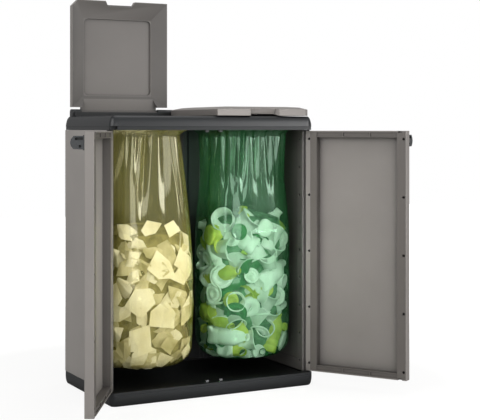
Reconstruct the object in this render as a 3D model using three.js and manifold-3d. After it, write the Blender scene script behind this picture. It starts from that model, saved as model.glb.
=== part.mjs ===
// Double recycling bin: a free-standing resin cabinet for two hanging bags.
// Units are millimetres, +Z is up, the doors face -Y, the origin is on the floor under the centre.
import * as THREE from 'three';
import { mergeVertices } from 'three/addons/utils/BufferGeometryUtils.js';
import Module from 'manifold-3d';

const wasm = await Module();
wasm.setup();

// ---------------------------------------------------------------- driving dimensions
const CABINET_WIDTH = 680;
const CABINET_DEPTH = 390;
const FRONT_CORNER_ACROSS = 26;
const FRONT_CORNER_DEEP = 20;
const REAR_RADIUS = 8;
const SEAT_GAP = 0.3;
const RUNNING_GAP = 0.5;
const GROOVE_CLEAR = 0.4;
const MOULD_WALL = 3;

const BASE_HEIGHT = 40;
const BASE_TUCK = 9;
const BASE_TUCK_HEIGHT = 27;
const BASE_EDGE = 20;
const FLOOR_THICKNESS = 5;
const FLOOR_RECESS = 4;
const RIB_WALL = 3;
const BASE_RIB_PITCH = 84;
const CENTRE_PAD_RADIUS = 16;
const SILL_DEPTH = 34;
const SILL_REBATE = 3;
const SILL_REBATE_HEIGHT = 8;

const DOOR_HEIGHT = 752;
const DOOR_CLEARANCE = 2.5;
const DOOR_THICKNESS = 26;
const DOOR_CENTRE_GAP = 4;
const DOOR_OPEN_LEFT = 120;
const DOOR_OPEN_RIGHT = 123;
const HINGE_STILE_START = 9;
const HINGE_STILE_END = 31;
const FREE_STILE_WIDTH = 31;
const FREE_EDGE_RADIUS = 2.5;
const RAIL_HEIGHT = 20;
const RAIL_POCKET_DEPTH = 3;
const RAIL_RIBS = 2;
const RAIL_RIB_WIDTH = 4;
const LINER_WALL = 2.6;
const STILE_HOLE_RADIUS = 4.2;
const STILE_HOLE_DEPTH = 12;
const STILE_HOLES = 5;
const STILE_HOLE_END = 25;
const STILE_HOLE_EDGE = 9;
const STILE_HOLE_HINGE_X = 5;

const HINGE_INSET_SIDE = 8.5;
const HINGE_INSET_FRONT = 22;
const HINGE_PIN_RADIUS = 2.5;
const HINGE_PIN_DEPTH = 15;
const HINGE_PIN_GRIP = 10;
const HINGE_FLANGE_RADIUS = 4.5;

const HANDLE_REACH = 38;
const HANDLE_HEIGHT = 36;
const HANDLE_THICKNESS = 12;
const HANDLE_TOP_DROP = 12;
const HANDLE_SETBACK = 5;
const HANDLE_PLATE = 4;
const HANDLE_WEB = 2;
const HANDLE_SLOT_LENGTH = 21;
const HANDLE_SLOT_HEIGHT = 7;
const PADLOCK_EYE_RADIUS = 3.5;
const PADLOCK_EYE_REACH = 12;
const PADLOCK_EYE_RISE = 8.5;

const CATCH_OFFSET = 23;
const CATCH_WIDTH = 10;
const CATCH_LENGTH = 9;
const CATCH_HEIGHT = 6;
const CATCH_TAPER = 2;
const CATCH_CLEARANCE = 2;

const PANEL_THICKNESS = 22;
const PANEL_EDGE_RADIUS = 4;
const PANEL_TONGUE = 6;
const PANEL_TONGUE_WALL = 8;
const PANEL_RECESS = 3;
const PANEL_BORDER = 34;
const PEG_RADIUS = 4;
const PEG_KEY_RADIUS = 5.5;
const PEG_ROWS = 9;
const PEG_PITCH = 87;
const PEG_EDGE = 19;

const BACK_SHEET = 4;
const BACK_WAVE = 9;
const BACK_PITCH = 76;
const BACK_LIP = 7;
const BACK_INSET = 5;

const CAP_HEIGHT = 42;
const CAP_SHOULDER = 14;
const CAP_BAND_HEIGHT = 10;
const CAP_BAND_STEP = 1.2;
const CAP_EDGE = 14;
const CAP_SOLID_END = 34;
const CAP_SPINE = 40;
const CAP_ROOF = 4;
const POCKET_HEIGHT = 12;
const POCKET_ACROSS = 21;
const POCKET_DEEP = 16;

const MOUTH_TO_CENTRE = 49;
const MOUTH_TO_SIDE = 39;
const MOUTH_TO_FRONT = 51;
const MOUTH_TO_BACK = 67;
const MOUTH_RADIUS = 34;
const RING_LEDGE = 9;
const RING_FLANGE = 4;
const RING_WALL = 3.5;
const RING_DROP = 34;
const RING_SLACK = 1;

const LID_INSET_SIDE = 9.5;
const LID_INSET_FRONT = 5;
const LID_CENTRE_GAP = 5;
const LID_RIM_GAP = 2;
const LID_SKIRT = 20;
const LID_EDGE_CHAMFER = 1.5;
const LID_CROWN = 8;
const LID_CROWN_BORDER = 54;
const LID_BORDER_OUTER = 46;
const LID_BORDER_INNER = 51;
const LID_BORDER_FRONT = 57;
const LID_BORDER_REAR = 38;
const LID_SLOPE = 18;
const LID_PANEL_STEP = 2;
const LID_RECESS = 24;
const LID_RIM_WIDTH = 3;
const LID_CHAMFER = 20;
const LID_PANEL_RADIUS = 14;
const LID_NOTCH_WIDTH = 102;
const LID_NOTCH_INNER_WIDTH = 76;
const LID_NOTCH_DEPTH = 20;
const LID_NOTCH_TOP_INNER_WIDTH = 96;
const LID_NOTCH_TOP_DEPTH = 8;

const LID_AXIS_FROM_BACK = 29.5;
const LID_AXIS_OVER_DECK = 11.5;
const LID_REAR_CLEAR = 18;
const LID_BARREL_RADIUS = 7;
const LID_FLAP_INSET = 34;
const LID_FLAP_LOW = 3.5;
const LID_FLAP_THICKNESS = 8;
const LID_PIN_RADIUS = 3.5;
const LID_PIN_GRIP = 13;
const LID_OPEN_ANGLE = 90;
const BOSS_RADIUS = 11.5;
const BOSS_END_GAP = 2;
const BAR_WALL = 4;
const BAR_FRONT_OVER_DECK = 14;
const BAR_BACK_OVER_DECK = 17;

const BAG_FILM = 1.4;
const BAG_SLACK = 0.4;
const BAG_TOP_DROP = 5;
const BAG_BOTTOM_Z = 96;
const BAG_BULGE_X = 20;
const BAG_BULGE_Y = 12;
const BAG_NECK = 10;
const BAG_LEAN = 7;
const BAG_ROUNDING = 60;
const BAG_FOOT_HEIGHT = 90;
const BAG_FOOT_TUCK = 62;
const PAPER_TOP_Z = 515;
const BOTTLE_TOP_Z = 548;
const HEAP_WALL = 4;
const HEAP_CROWN = 34;
const HEAP_SLACK = 1.5;

// ---------------------------------------------------------------- places worked out from them
const HALF_WIDTH = CABINET_WIDTH / 2;
const FRONT = -CABINET_DEPTH / 2;
const BACK = CABINET_DEPTH / 2;
const DOOR_BOTTOM = BASE_HEIGHT + DOOR_CLEARANCE;
const DOOR_TOP = DOOR_BOTTOM + DOOR_HEIGHT;
const DOOR_MIDDLE = (DOOR_BOTTOM + DOOR_TOP) / 2;
const CAP_BOTTOM = DOOR_TOP + DOOR_CLEARANCE;
const DECK = CAP_BOTTOM + CAP_HEIGHT;
const PIVOT_X = HALF_WIDTH - HINGE_INSET_SIDE;
const PIVOT_Y = FRONT + HINGE_INSET_FRONT;
const DOOR_REACH = PIVOT_X - DOOR_CENTRE_GAP / 2;
const DOOR_OUTER = -HINGE_INSET_FRONT;
const DOOR_INNER = DOOR_THICKNESS - HINGE_INSET_FRONT;
const PANEL_FRONT = FRONT + SILL_DEPTH;
const PANEL_INNER = HALF_WIDTH - PANEL_THICKNESS;
const BACK_FRONT_Y = BACK - BACK_SHEET - BACK_WAVE - BACK_INSET;
const FLOOR_TOP = BASE_HEIGHT - FLOOR_RECESS;
const MOUTH_WIDTH = HALF_WIDTH - MOUTH_TO_CENTRE - MOUTH_TO_SIDE;
const MOUTH_DEPTH = CABINET_DEPTH - MOUTH_TO_FRONT - MOUTH_TO_BACK;
const MOUTH_CENTRE_X = MOUTH_TO_CENTRE + MOUTH_WIDTH / 2;
const MOUTH_CENTRE_Y = FRONT + MOUTH_TO_FRONT + MOUTH_DEPTH / 2;
const LID_AXIS_Y = BACK - LID_AXIS_FROM_BACK;
const LID_AXIS_Z = DECK + LID_AXIS_OVER_DECK;
const LID_OUTER_X = HALF_WIDTH - LID_INSET_SIDE;
const LID_WIDTH = LID_OUTER_X - LID_CENTRE_GAP;
const OUTER_BARREL_END = LID_OUTER_X - LID_FLAP_INSET;
const INNER_BARREL_END = LID_CENTRE_GAP + LID_FLAP_INSET;

// ---------------------------------------------------------------- geometry helpers
const segmentPoints = (count) => Array.from({ length: count + 1 }, (_, i) => i / count);

/** Keeps only positions, welds them and drops the triangles that a weld has collapsed. */
function weld(geometry) {
  const bare = geometry.clone();
  for (const name of Object.keys(bare.attributes)) {
    if (name !== 'position') bare.deleteAttribute(name);
  }
  const merged = mergeVertices(bare, 1e-4);
  const source = merged.index.array;
  const kept = [];
  for (let i = 0; i < source.length; i += 3) {
    const [a, b, c] = [source[i], source[i + 1], source[i + 2]];
    if (a !== b && b !== c && c !== a) kept.push(a, b, c);
  }
  merged.setIndex(kept);
  return merged;
}

function toSolid(geometry) {
  const merged = weld(geometry);
  const mesh = new wasm.Mesh({
    numProp: 3,
    vertProperties: new Float32Array(merged.attributes.position.array),
    triVerts: new Uint32Array(merged.index.array),
  });
  return new wasm.Manifold(mesh);
}

function toGeometry(solid) {
  const mesh = solid.getMesh();
  const geometry = new THREE.BufferGeometry();
  geometry.setAttribute('position', new THREE.BufferAttribute(new Float32Array(mesh.vertProperties), 3));
  geometry.setIndex(Array.from(mesh.triVerts));
  geometry.computeVertexNormals();
  return geometry;
}

/** Joins every body, then cuts every tool from the result. */
function carve(bodies, tools = []) {
  let solid = toSolid(bodies[0]);
  for (const body of bodies.slice(1)) solid = solid.add(toSolid(body));
  for (const tool of tools) solid = solid.subtract(toSolid(tool));
  return toGeometry(solid);
}

function block(x0, x1, y0, y1, z0, z1) {
  const geometry = new THREE.BoxGeometry(x1 - x0, y1 - y0, z1 - z0);
  return geometry.translate((x0 + x1) / 2, (y0 + y1) / 2, (z0 + z1) / 2);
}

function uprightRod(x, y, radius, z0, z1, sides = 24) {
  const geometry = new THREE.CylinderGeometry(radius, radius, z1 - z0, sides);
  return geometry.rotateX(Math.PI / 2).translate(x, y, (z0 + z1) / 2);
}

function levelRod(y, z, radius, x0, x1, sides = 24) {
  const geometry = new THREE.CylinderGeometry(radius, radius, x1 - x0, sides);
  return geometry.rotateZ(Math.PI / 2).translate((x0 + x1) / 2, y, z);
}

/** Mirrors left to right and turns the faces outward again. */
function mirrored(geometry) {
  const copy = (geometry.index ? geometry : weld(geometry)).clone();
  copy.applyMatrix4(new THREE.Matrix4().makeScale(-1, 1, 1));
  const index = Array.from(copy.index.array);
  for (let i = 0; i < index.length; i += 3) [index[i], index[i + 1]] = [index[i + 1], index[i]];
  copy.setIndex(index);
  copy.computeVertexNormals();
  return copy;
}

/**
 * Outline of a rectangle with its own treatment at each corner, counter-clockwise from the left front.
 * corner: { round: radius across, deep: radius along Y if it differs } or { cut: leg }.
 * Each kind gives the same count of points, so outlines loft.
 */
function cornerOutline(x0, x1, y0, y1, corners, steps = 6) {
  const places = [
    [x0, y0, 1, 1, Math.PI],
    [x1, y0, -1, 1, 1.5 * Math.PI],
    [x1, y1, -1, -1, 0],
    [x0, y1, 1, -1, 0.5 * Math.PI],
  ];
  const points = [];
  places.forEach(([x, y, sx, sy, start], i) => {
    const corner = corners[i];
    for (const t of segmentPoints(steps)) {
      if (corner.cut !== undefined) {
        const [alongX, alongY] = i % 2 === 0 ? [t, 1 - t] : [1 - t, t];
        points.push(new THREE.Vector2(x + sx * corner.cut * alongX, y + sy * corner.cut * alongY));
      } else {
        const angle = start + t * Math.PI / 2;
        const deep = corner.deep ?? corner.round;
        points.push(new THREE.Vector2(
          x + sx * corner.round + corner.round * Math.cos(angle),
          y + sy * deep + deep * Math.sin(angle),
        ));
      }
    }
  });
  return points;
}

const alike = (radius) => Array(4).fill({ round: Math.max(radius, 0) });

/** Plan outline of the cabinet drawn in from its full size. */
function cabinetOutline(inset, steps = 6) {
  const front = {
    round: Math.max(FRONT_CORNER_ACROSS - inset, 2),
    deep: Math.max(FRONT_CORNER_DEEP - inset, 2),
  };
  const rear = { round: Math.max(REAR_RADIUS - inset, 2) };
  return cornerOutline(
    -HALF_WIDTH + inset, HALF_WIDTH - inset, FRONT + inset, BACK - inset,
    [front, front, rear, rear], steps,
  );
}

/** Closed skin through stacked outlines with equal point counts; each ring is { points, z }. */
function loft(rings) {
  const count = rings[0].points.length;
  const positions = rings.flatMap(({ points, z }) => points.flatMap((p) => [p.x, p.y, z]));
  const index = [];
  for (let ring = 0; ring + 1 < rings.length; ring += 1) {
    for (let i = 0; i < count; i += 1) {
      const next = (i + 1) % count;
      const [a, b] = [ring * count + i, ring * count + next];
      const [c, d] = [a + count, b + count];
      index.push(a, b, d, a, d, c);
    }
  }
  const last = (rings.length - 1) * count;
  for (const [a, b, c] of capFaces(rings[0].points)) index.push(c, b, a);
  for (const [a, b, c] of capFaces(rings[rings.length - 1].points)) index.push(last + a, last + b, last + c);
  const geometry = new THREE.BufferGeometry();
  geometry.setAttribute('position', new THREE.Float32BufferAttribute(positions, 3));
  geometry.setIndex(index);
  return geometry;
}

/** Triangles over an outline, skipping points that repeat their neighbour. */
function capFaces(points) {
  const kept = [];
  points.forEach((p, i) => {
    const before = points[(i + points.length - 1) % points.length];
    if (p.distanceTo(before) > 1e-4) kept.push(i);
  });
  const faces = THREE.ShapeUtils.triangulateShape(kept.map((i) => points[i]), []);
  return faces.map((face) => face.map((i) => kept[i]));
}

function prism(points, z0, z1) {
  return loft([{ points, z: z0 }, { points, z: z1 }]);
}

function plate(width, depth, radius, cx, cy, z0, z1) {
  const outline = cornerOutline(
    cx - width / 2, cx + width / 2, cy - depth / 2, cy + depth / 2, alike(radius),
  );
  return prism(outline, z0, z1);
}

/** Extrudes a profile drawn in Y and Z along X. */
function profileAlongX(profile, x0, x1) {
  const shape = new THREE.Shape(profile.map(([y, z]) => new THREE.Vector2(y, z)));
  const geometry = new THREE.ExtrudeGeometry(shape, { depth: x1 - x0, bevelEnabled: false });
  const turn = new THREE.Matrix4().makeBasis(
    new THREE.Vector3(0, 1, 0), new THREE.Vector3(0, 0, 1), new THREE.Vector3(1, 0, 0),
  );
  return geometry.applyMatrix4(turn).translate(x0, 0, 0);
}

// ---------------------------------------------------------------- finishes
const finish = (color, roughness, metalness = 0, opacity = 1) => () => new THREE.MeshStandardMaterial({
  color, roughness, metalness, opacity, transparent: opacity < 1,
});
const slateResin = finish('#2f3133', 0.5);
const taupeResin = finish('#8a8480', 0.55);
const linerResin = finish('#7c7671', 0.55);
const handleResin = finish('#6d6d6d', 0.5);
const acetal = finish('#1c1d1e', 0.4);
const catchResin = finish('#8f9092', 0.4);
const yellowFilm = finish('#c2bb7c', 0.3, 0, 0.5);
const greenFilm = finish('#2f8a4b', 0.3, 0, 0.5);
const paper = finish('#dcd8bc', 0.9);
const bottlePlastic = finish('#cfe3cf', 0.5);

const model = new THREE.Group();

function place(name, geometry, material, parent = model) {
  const mesh = new THREE.Mesh(geometry, material());
  mesh.name = name;
  parent.add(mesh);
  return mesh;
}

// ---------------------------------------------------------------- base tray
/** How far an elliptical edge has drawn in at a height above its tangent point. */
const ellipseInset = (reach, span, height) => (
  reach * (1 - Math.sqrt(Math.max(1 - (height / span) ** 2, 0)))
);

function tongueGroove(side, z0, z1) {
  const middle = side * (HALF_WIDTH - PANEL_THICKNESS / 2);
  const half = PANEL_TONGUE_WALL / 2 + GROOVE_CLEAR;
  const inset = PANEL_BORDER / 2;
  return block(middle - half, middle + half, PANEL_FRONT + inset, BACK - inset, z0, z1);
}

/** Cells between the ribs under the floor, with a rib on each middle line. */
function baseCells(top) {
  const [x0, x1] = [-HALF_WIDTH + BASE_EDGE, HALF_WIDTH - BASE_EDGE];
  const [y0, y1] = [FRONT + BASE_EDGE, BACK - BASE_EDGE];
  const columns = 2 * Math.max(Math.round((x1 - x0) / BASE_RIB_PITCH / 2), 1);
  const rows = 2 * Math.max(Math.round((y1 - y0) / BASE_RIB_PITCH / 2), 1);
  const [stepX, stepY] = [(x1 - x0) / columns, (y1 - y0) / rows];
  const cells = [];
  for (let i = 0; i < columns; i += 1) {
    for (let j = 0; j < rows; j += 1) {
      cells.push(block(
        x0 + i * stepX + RIB_WALL / 2, x0 + (i + 1) * stepX - RIB_WALL / 2,
        y0 + j * stepY + RIB_WALL / 2, y0 + (j + 1) * stepY - RIB_WALL / 2, -1, top,
      ));
    }
  }
  return cells;
}

function baseTray() {
  const rings = [1, 0.93, 0.8, 0.62, 0.4, 0.2, 0].map((share) => {
    const below = BASE_TUCK_HEIGHT * share;
    const inset = ellipseInset(BASE_TUCK, BASE_TUCK_HEIGHT * 1.02, below);
    return { points: cabinetOutline(inset), z: BASE_TUCK_HEIGHT - below };
  });
  rings.push({ points: cabinetOutline(0), z: BASE_HEIGHT - 1 });
  rings.push({ points: cabinetOutline(1), z: BASE_HEIGHT });
  const cellTop = FLOOR_TOP - FLOOR_THICKNESS;
  const hollowed = carve([loft(rings)], baseCells(cellTop));
  const pad = uprightRod(0, 0, CENTRE_PAD_RADIUS, 0, cellTop + 1, 24);
  const floor = plate(
    2 * PANEL_INNER, BACK_FRONT_Y - PANEL_FRONT, 6, 0, (BACK_FRONT_Y + PANEL_FRONT) / 2,
    FLOOR_TOP, BASE_HEIGHT + 1,
  );
  const rebate = block(
    -HALF_WIDTH - 1, HALF_WIDTH + 1, FRONT - 1, FRONT + SILL_REBATE,
    BASE_HEIGHT - SILL_REBATE_HEIGHT, BASE_HEIGHT + 1,
  );
  const sockets = [-1, 1].flatMap((side) => [
    tongueGroove(side, BASE_HEIGHT - PANEL_TONGUE - GROOVE_CLEAR, BASE_HEIGHT + 1),
    uprightRod(
      side * PIVOT_X, PIVOT_Y, HINGE_PIN_RADIUS + RUNNING_GAP,
      BASE_HEIGHT - HINGE_PIN_GRIP - RUNNING_GAP, BASE_HEIGHT + 1,
    ),
  ]);
  return carve([hollowed, pad], [floor, rebate, ...sockets]);
}

// ---------------------------------------------------------------- side and back panels
function sidePanel() {
  const [outer, inner] = [-HALF_WIDTH, -PANEL_INNER];
  const [bottom, top] = [BASE_HEIGHT + SEAT_GAP, CAP_BOTTOM - SEAT_GAP];
  const front = PANEL_FRONT + SEAT_GAP;
  const middle = (outer + inner) / 2;
  const slab = plate(
    PANEL_THICKNESS, BACK - front, PANEL_EDGE_RADIUS, middle, (front + BACK) / 2, bottom, top,
  );
  const tongue = block(
    middle - PANEL_TONGUE_WALL / 2, middle + PANEL_TONGUE_WALL / 2,
    PANEL_FRONT + PANEL_BORDER / 2 + GROOVE_CLEAR, BACK - PANEL_BORDER / 2 - GROOVE_CLEAR,
    bottom - PANEL_TONGUE, top + PANEL_TONGUE,
  );
  const recess = block(
    inner - PANEL_RECESS, inner + 1, front + PANEL_BORDER, BACK_FRONT_Y - PANEL_BORDER,
    bottom + PANEL_BORDER, top - PANEL_BORDER,
  );
  const slot = block(
    inner - BACK_LIP - GROOVE_CLEAR, inner + 1, BACK_FRONT_Y - GROOVE_CLEAR,
    BACK_FRONT_Y + BACK_SHEET + GROOVE_CLEAR, bottom - 1, top + 1,
  );
  const pegs = [];
  for (const y of [front + PEG_EDGE, BACK_FRONT_Y - PEG_EDGE]) {
    for (let row = 0; row < PEG_ROWS; row += 1) {
      const fromMiddle = row - (PEG_ROWS - 1) / 2;
      const radius = fromMiddle === 0 ? PEG_KEY_RADIUS : PEG_RADIUS;
      pegs.push(levelRod(y, DOOR_MIDDLE + fromMiddle * PEG_PITCH, radius, middle, inner + 1, 12));
    }
  }
  return carve([slab, tongue], [recess, slot, ...pegs]);
}

/** Corrugated sheet whose flat edges slide into the side panels. */
function backPanel() {
  const half = PANEL_INNER + BACK_LIP - SEAT_GAP;
  const flat = BACK_LIP + 12;
  const waves = Math.max(Math.round(2 * (half - flat) / BACK_PITCH), 1);
  const pitch = 2 * (half - flat) / waves;
  const crest = [[-half, 0]];
  for (let i = 0; i < waves; i += 1) {
    const start = -half + flat + i * pitch;
    crest.push([start, 0], [start + pitch * 0.15, BACK_WAVE]);
    crest.push([start + pitch * 0.65, BACK_WAVE], [start + pitch * 0.8, 0]);
  }
  crest.push([half, 0]);
  const front = crest.map(([x, y]) => new THREE.Vector2(x, BACK_FRONT_Y + y));
  const rear = crest.map(([x, y]) => new THREE.Vector2(x, BACK_FRONT_Y + y + BACK_SHEET)).reverse();
  return prism([...front, ...rear], BASE_HEIGHT + SEAT_GAP, CAP_BOTTOM - SEAT_GAP);
}

// ---------------------------------------------------------------- top cap
const capBarFront = LID_AXIS_Y - BOSS_RADIUS - BAR_WALL;
const capBarBack = LID_AXIS_Y + BOSS_RADIUS + RUNNING_GAP;
const outerBossEnd = OUTER_BARREL_END + BOSS_END_GAP;
const innerBossEnd = INNER_BARREL_END - BOSS_END_GAP;

function hingeBoss(x0, x1) {
  return carve([
    levelRod(LID_AXIS_Y, LID_AXIS_Z, BOSS_RADIUS, x0, x1, 28),
    block(x0, x1, LID_AXIS_Y - BOSS_RADIUS, LID_AXIS_Y + BOSS_RADIUS, DECK - 1, LID_AXIS_Z),
  ]);
}

function bagMouth(side) {
  const x = side * MOUTH_CENTRE_X;
  return [
    plate(MOUTH_WIDTH, MOUTH_DEPTH, MOUTH_RADIUS, x, MOUTH_CENTRE_Y, CAP_BOTTOM - 1, DECK + 1),
    plate(
      MOUTH_WIDTH + 2 * RING_LEDGE, MOUTH_DEPTH + 2 * RING_LEDGE, MOUTH_RADIUS + RING_LEDGE,
      x, MOUTH_CENTRE_Y, DECK - RING_FLANGE - SEAT_GAP, DECK + 1,
    ),
  ];
}

/** Rails and bosses that carry the lid hinges on the deck. */
function hingeBar() {
  const end = LID_OUTER_X - CAP_SHOULDER / 2;
  return [
    block(-end, end, capBarFront, capBarFront + BAR_WALL + 1, DECK - 1, DECK + BAR_FRONT_OVER_DECK),
    block(-end, end, capBarBack, capBarBack + BAR_WALL, DECK - 1, DECK + BAR_BACK_OVER_DECK),
    hingeBoss(-LID_OUTER_X, -outerBossEnd),
    hingeBoss(-innerBossEnd, innerBossEnd),
    hingeBoss(outerBossEnd, LID_OUTER_X),
  ];
}

/** Everything taken out of the cap on one side: hollows, mouth, tongue groove and hinge seats. */
function capTools(side) {
  const mouthFront = MOUTH_CENTRE_Y - MOUTH_DEPTH / 2 - MOULD_WALL;
  const mouthRear = MOUTH_CENTRE_Y + MOUTH_DEPTH / 2 + MOULD_WALL;
  const ledgeTop = DECK - RING_FLANGE - CAP_ROOF;
  const [near, far] = [side * CAP_SPINE, side * (HALF_WIDTH - CAP_SOLID_END)];
  const [x0, x1] = [Math.min(near, far), Math.max(near, far)];
  const [edge, notch] = [side * (HALF_WIDTH + 1), side * (HALF_WIDTH - POCKET_ACROSS)];
  const tools = [
    block(x0, x1, FRONT + CAP_EDGE, mouthFront, CAP_BOTTOM - 1, ledgeTop),
    block(x0, x1, mouthRear, BACK_FRONT_Y - MOULD_WALL, CAP_BOTTOM - 1, ledgeTop),
    ...bagMouth(side),
    tongueGroove(side, CAP_BOTTOM - 1, CAP_BOTTOM + PANEL_TONGUE + GROOVE_CLEAR),
    block(
      Math.min(edge, notch), Math.max(edge, notch), FRONT - 1, FRONT + POCKET_DEEP,
      CAP_BOTTOM - 1, CAP_BOTTOM + POCKET_HEIGHT,
    ),
    uprightRod(
      side * PIVOT_X, PIVOT_Y, HINGE_PIN_RADIUS + RUNNING_GAP,
      CAP_BOTTOM - 1, CAP_BOTTOM + HINGE_PIN_GRIP + RUNNING_GAP,
    ),
  ];
  for (const [x, inward] of [[side * outerBossEnd, side], [side * innerBossEnd, -side]]) {
    const ends = [x - inward, x + inward * (LID_PIN_GRIP + RUNNING_GAP)];
    tools.push(levelRod(
      LID_AXIS_Y, LID_AXIS_Z, LID_PIN_RADIUS + RUNNING_GAP, Math.min(...ends), Math.max(...ends), 16,
    ));
  }
  return tools;
}

function topCap() {
  const rings = [{ points: cabinetOutline(CAP_BAND_STEP), z: CAP_BOTTOM }];
  rings.push({ points: cabinetOutline(CAP_BAND_STEP), z: CAP_BOTTOM + CAP_BAND_HEIGHT });
  for (const share of [0.26, 0.45, 0.62, 0.76, 0.87, 0.95, 1]) {
    const inset = ellipseInset(CAP_SHOULDER, CAP_HEIGHT * 1.01, CAP_HEIGHT * share);
    rings.push({ points: cabinetOutline(inset), z: CAP_BOTTOM + CAP_HEIGHT * share });
  }
  const spine = MOUTH_CENTRE_X - MOUTH_WIDTH / 2 - RING_LEDGE - MOULD_WALL;
  const reach = MOUTH_DEPTH / 2 - MOULD_WALL;
  const hollow = block(
    -spine, spine, MOUTH_CENTRE_Y - reach, MOUTH_CENTRE_Y + reach, CAP_BOTTOM - 1, DECK - CAP_ROOF,
  );
  return carve([loft(rings), ...hingeBar()], [hollow, ...capTools(-1), ...capTools(1)]);
}

// ---------------------------------------------------------------- bag rings, bags and their contents
const bagTop = DECK - RING_FLANGE - BAG_TOP_DROP;
const ringInset = BAG_SLACK + BAG_FILM + RING_SLACK;

function bagRing(side) {
  const x = side * MOUTH_CENTRE_X;
  const outer = [MOUTH_WIDTH - 2 * ringInset, MOUTH_DEPTH - 2 * ringInset, MOUTH_RADIUS - ringInset];
  const flange = plate(
    MOUTH_WIDTH + 2 * (RING_LEDGE - BAG_SLACK), MOUTH_DEPTH + 2 * (RING_LEDGE - BAG_SLACK),
    MOUTH_RADIUS + RING_LEDGE - BAG_SLACK, x, MOUTH_CENTRE_Y, DECK - RING_FLANGE, DECK,
  );
  const collar = plate(...outer, x, MOUTH_CENTRE_Y, DECK - RING_DROP - RING_FLANGE, DECK - 1);
  const [w, d, r] = outer.map((size) => size - 2 * RING_WALL);
  const bore = plate(
    w, d, r + RING_WALL, x, MOUTH_CENTRE_Y, DECK - RING_DROP - RING_FLANGE - 1, DECK + 1,
  );
  return carve([flange, collar], [bore]);
}

/** Outline of a hanging bag at a height, drawn in by an inset from its outer skin. */
function bagOutline(side, z, inset) {
  const fall = THREE.MathUtils.clamp((CAP_BOTTOM - z) / (CAP_BOTTOM - BAG_BOTTOM_Z), 0, 1);
  const bulge = Math.sin(Math.PI * fall / 1.3);
  const neck = BAG_NECK * Math.min(fall / 0.03, 1) * Math.max(1 - fall / 0.45, 0);
  const below = Math.max(BAG_BOTTOM_Z + BAG_FOOT_HEIGHT - z, 0);
  const draw = BAG_SLACK + inset + neck + ellipseInset(BAG_FOOT_TUCK, BAG_FOOT_HEIGHT, below);
  const halfX = MOUTH_WIDTH / 2 + BAG_BULGE_X * bulge - draw;
  const halfY = MOUTH_DEPTH / 2 + BAG_BULGE_Y * bulge - draw;
  const x = side * (MOUTH_CENTRE_X - BAG_LEAN * bulge);
  const wanted = MOUTH_RADIUS + BAG_ROUNDING * Math.min(1.6 * fall, 1);
  const round = Math.min(wanted - inset, Math.min(halfX, halfY) - 4);
  return cornerOutline(
    x - halfX, x + halfX, MOUTH_CENTRE_Y - halfY, MOUTH_CENTRE_Y + halfY, alike(round), 5,
  );
}

/** Stacked outlines of a bag's skin, drawn in by an inset and lifted, up to a top height. */
function bagRings(side, inset, top, lift = inset) {
  const foot = BAG_BOTTOM_Z + BAG_FOOT_HEIGHT;
  const levels = [0, 0.06, 0.2, 0.42, 0.7].map((share) => BAG_BOTTOM_Z + BAG_FOOT_HEIGHT * share);
  for (const share of [0, 0.16, 0.34, 0.54, 0.76, 0.96, 1]) {
    levels.push(foot + share * (CAP_BOTTOM - foot));
  }
  const rings = levels
    .filter((z) => z + lift < top - 2)
    .map((z) => ({ points: bagOutline(side, z, inset), z: z + lift }));
  return [...rings, { points: bagOutline(side, top, inset), z: top }];
}

function bagShell(side) {
  const outer = loft(bagRings(side, 0, bagTop));
  const inner = loft(bagRings(side, BAG_FILM, bagTop + 1));
  return carve([outer], [inner]);
}

/** Mound of waste that fills a bag up to a height, hollow and open below. */
function wasteHeap(side, top) {
  const skin = (inset) => {
    const rings = bagRings(side, inset + HEAP_SLACK, top - inset, inset);
    for (const share of [0.35, 0.7, 0.92, 1]) {
      const draw = BAG_FOOT_TUCK * 1.6 * share;
      rings.push({
        points: bagOutline(side, top, inset + HEAP_SLACK + draw),
        z: top - inset + HEAP_CROWN * Math.sin(share * Math.PI / 2),
      });
    }
    return rings;
  };
  const outer = skin(BAG_FILM + SEAT_GAP);
  const inner = skin(BAG_FILM + SEAT_GAP + HEAP_WALL);
  inner.unshift({ points: inner[0].points, z: inner[0].z - 2 * HEAP_WALL });
  return carve([loft(outer)], [loft(inner)]);
}

// ---------------------------------------------------------------- hinge pins and catches
/** Pin along the door pivot with a washer in the gap beside the door. */
function doorPin(z0, z1, washerLow) {
  return carve([
    uprightRod(0, 0, HINGE_PIN_RADIUS, z0, z1),
    uprightRod(
      0, 0, HINGE_FLANGE_RADIUS, washerLow + SEAT_GAP, washerLow + DOOR_CLEARANCE - SEAT_GAP,
    ),
  ]);
}

/** Wedge that holds a door shut, seated at z and pointing up (1) or down (-1). */
function doorCatch(side, z, direction) {
  const rear = FRONT + DOOR_THICKNESS;
  const crest = z + direction * CATCH_HEIGHT;
  const profile = [
    [rear - CATCH_LENGTH, z], [rear - CATCH_LENGTH + CATCH_TAPER, crest],
    [rear - CATCH_TAPER, crest], [rear, z + direction * CATCH_HEIGHT / 2], [rear, z],
  ];
  const x = side * CATCH_OFFSET;
  const turned = direction > 0 ? profile.slice().reverse() : profile;
  return weld(profileAlongX(turned, x - CATCH_WIDTH / 2, x + CATCH_WIDTH / 2));
}

// ---------------------------------------------------------------- doors, drawn shut with the pivot at the origin
/** Space that the catches sweep in a door's free corner. */
function catchNotches() {
  const half = CATCH_WIDTH / 2 + CATCH_CLEARANCE;
  const [x0, x1] = [PIVOT_X - CATCH_OFFSET - half, PIVOT_X - CATCH_OFFSET + half];
  const y = DOOR_INNER - CATCH_LENGTH - CATCH_CLEARANCE;
  const depth = CATCH_HEIGHT + CATCH_CLEARANCE + SEAT_GAP - DOOR_CLEARANCE;
  return [
    block(x0, x1, y, DOOR_INNER + 1, DOOR_BOTTOM - 1, DOOR_BOTTOM + depth),
    block(x0, x1, y, DOOR_INNER + 1, DOOR_TOP - depth, DOOR_TOP + 1),
  ];
}

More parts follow.
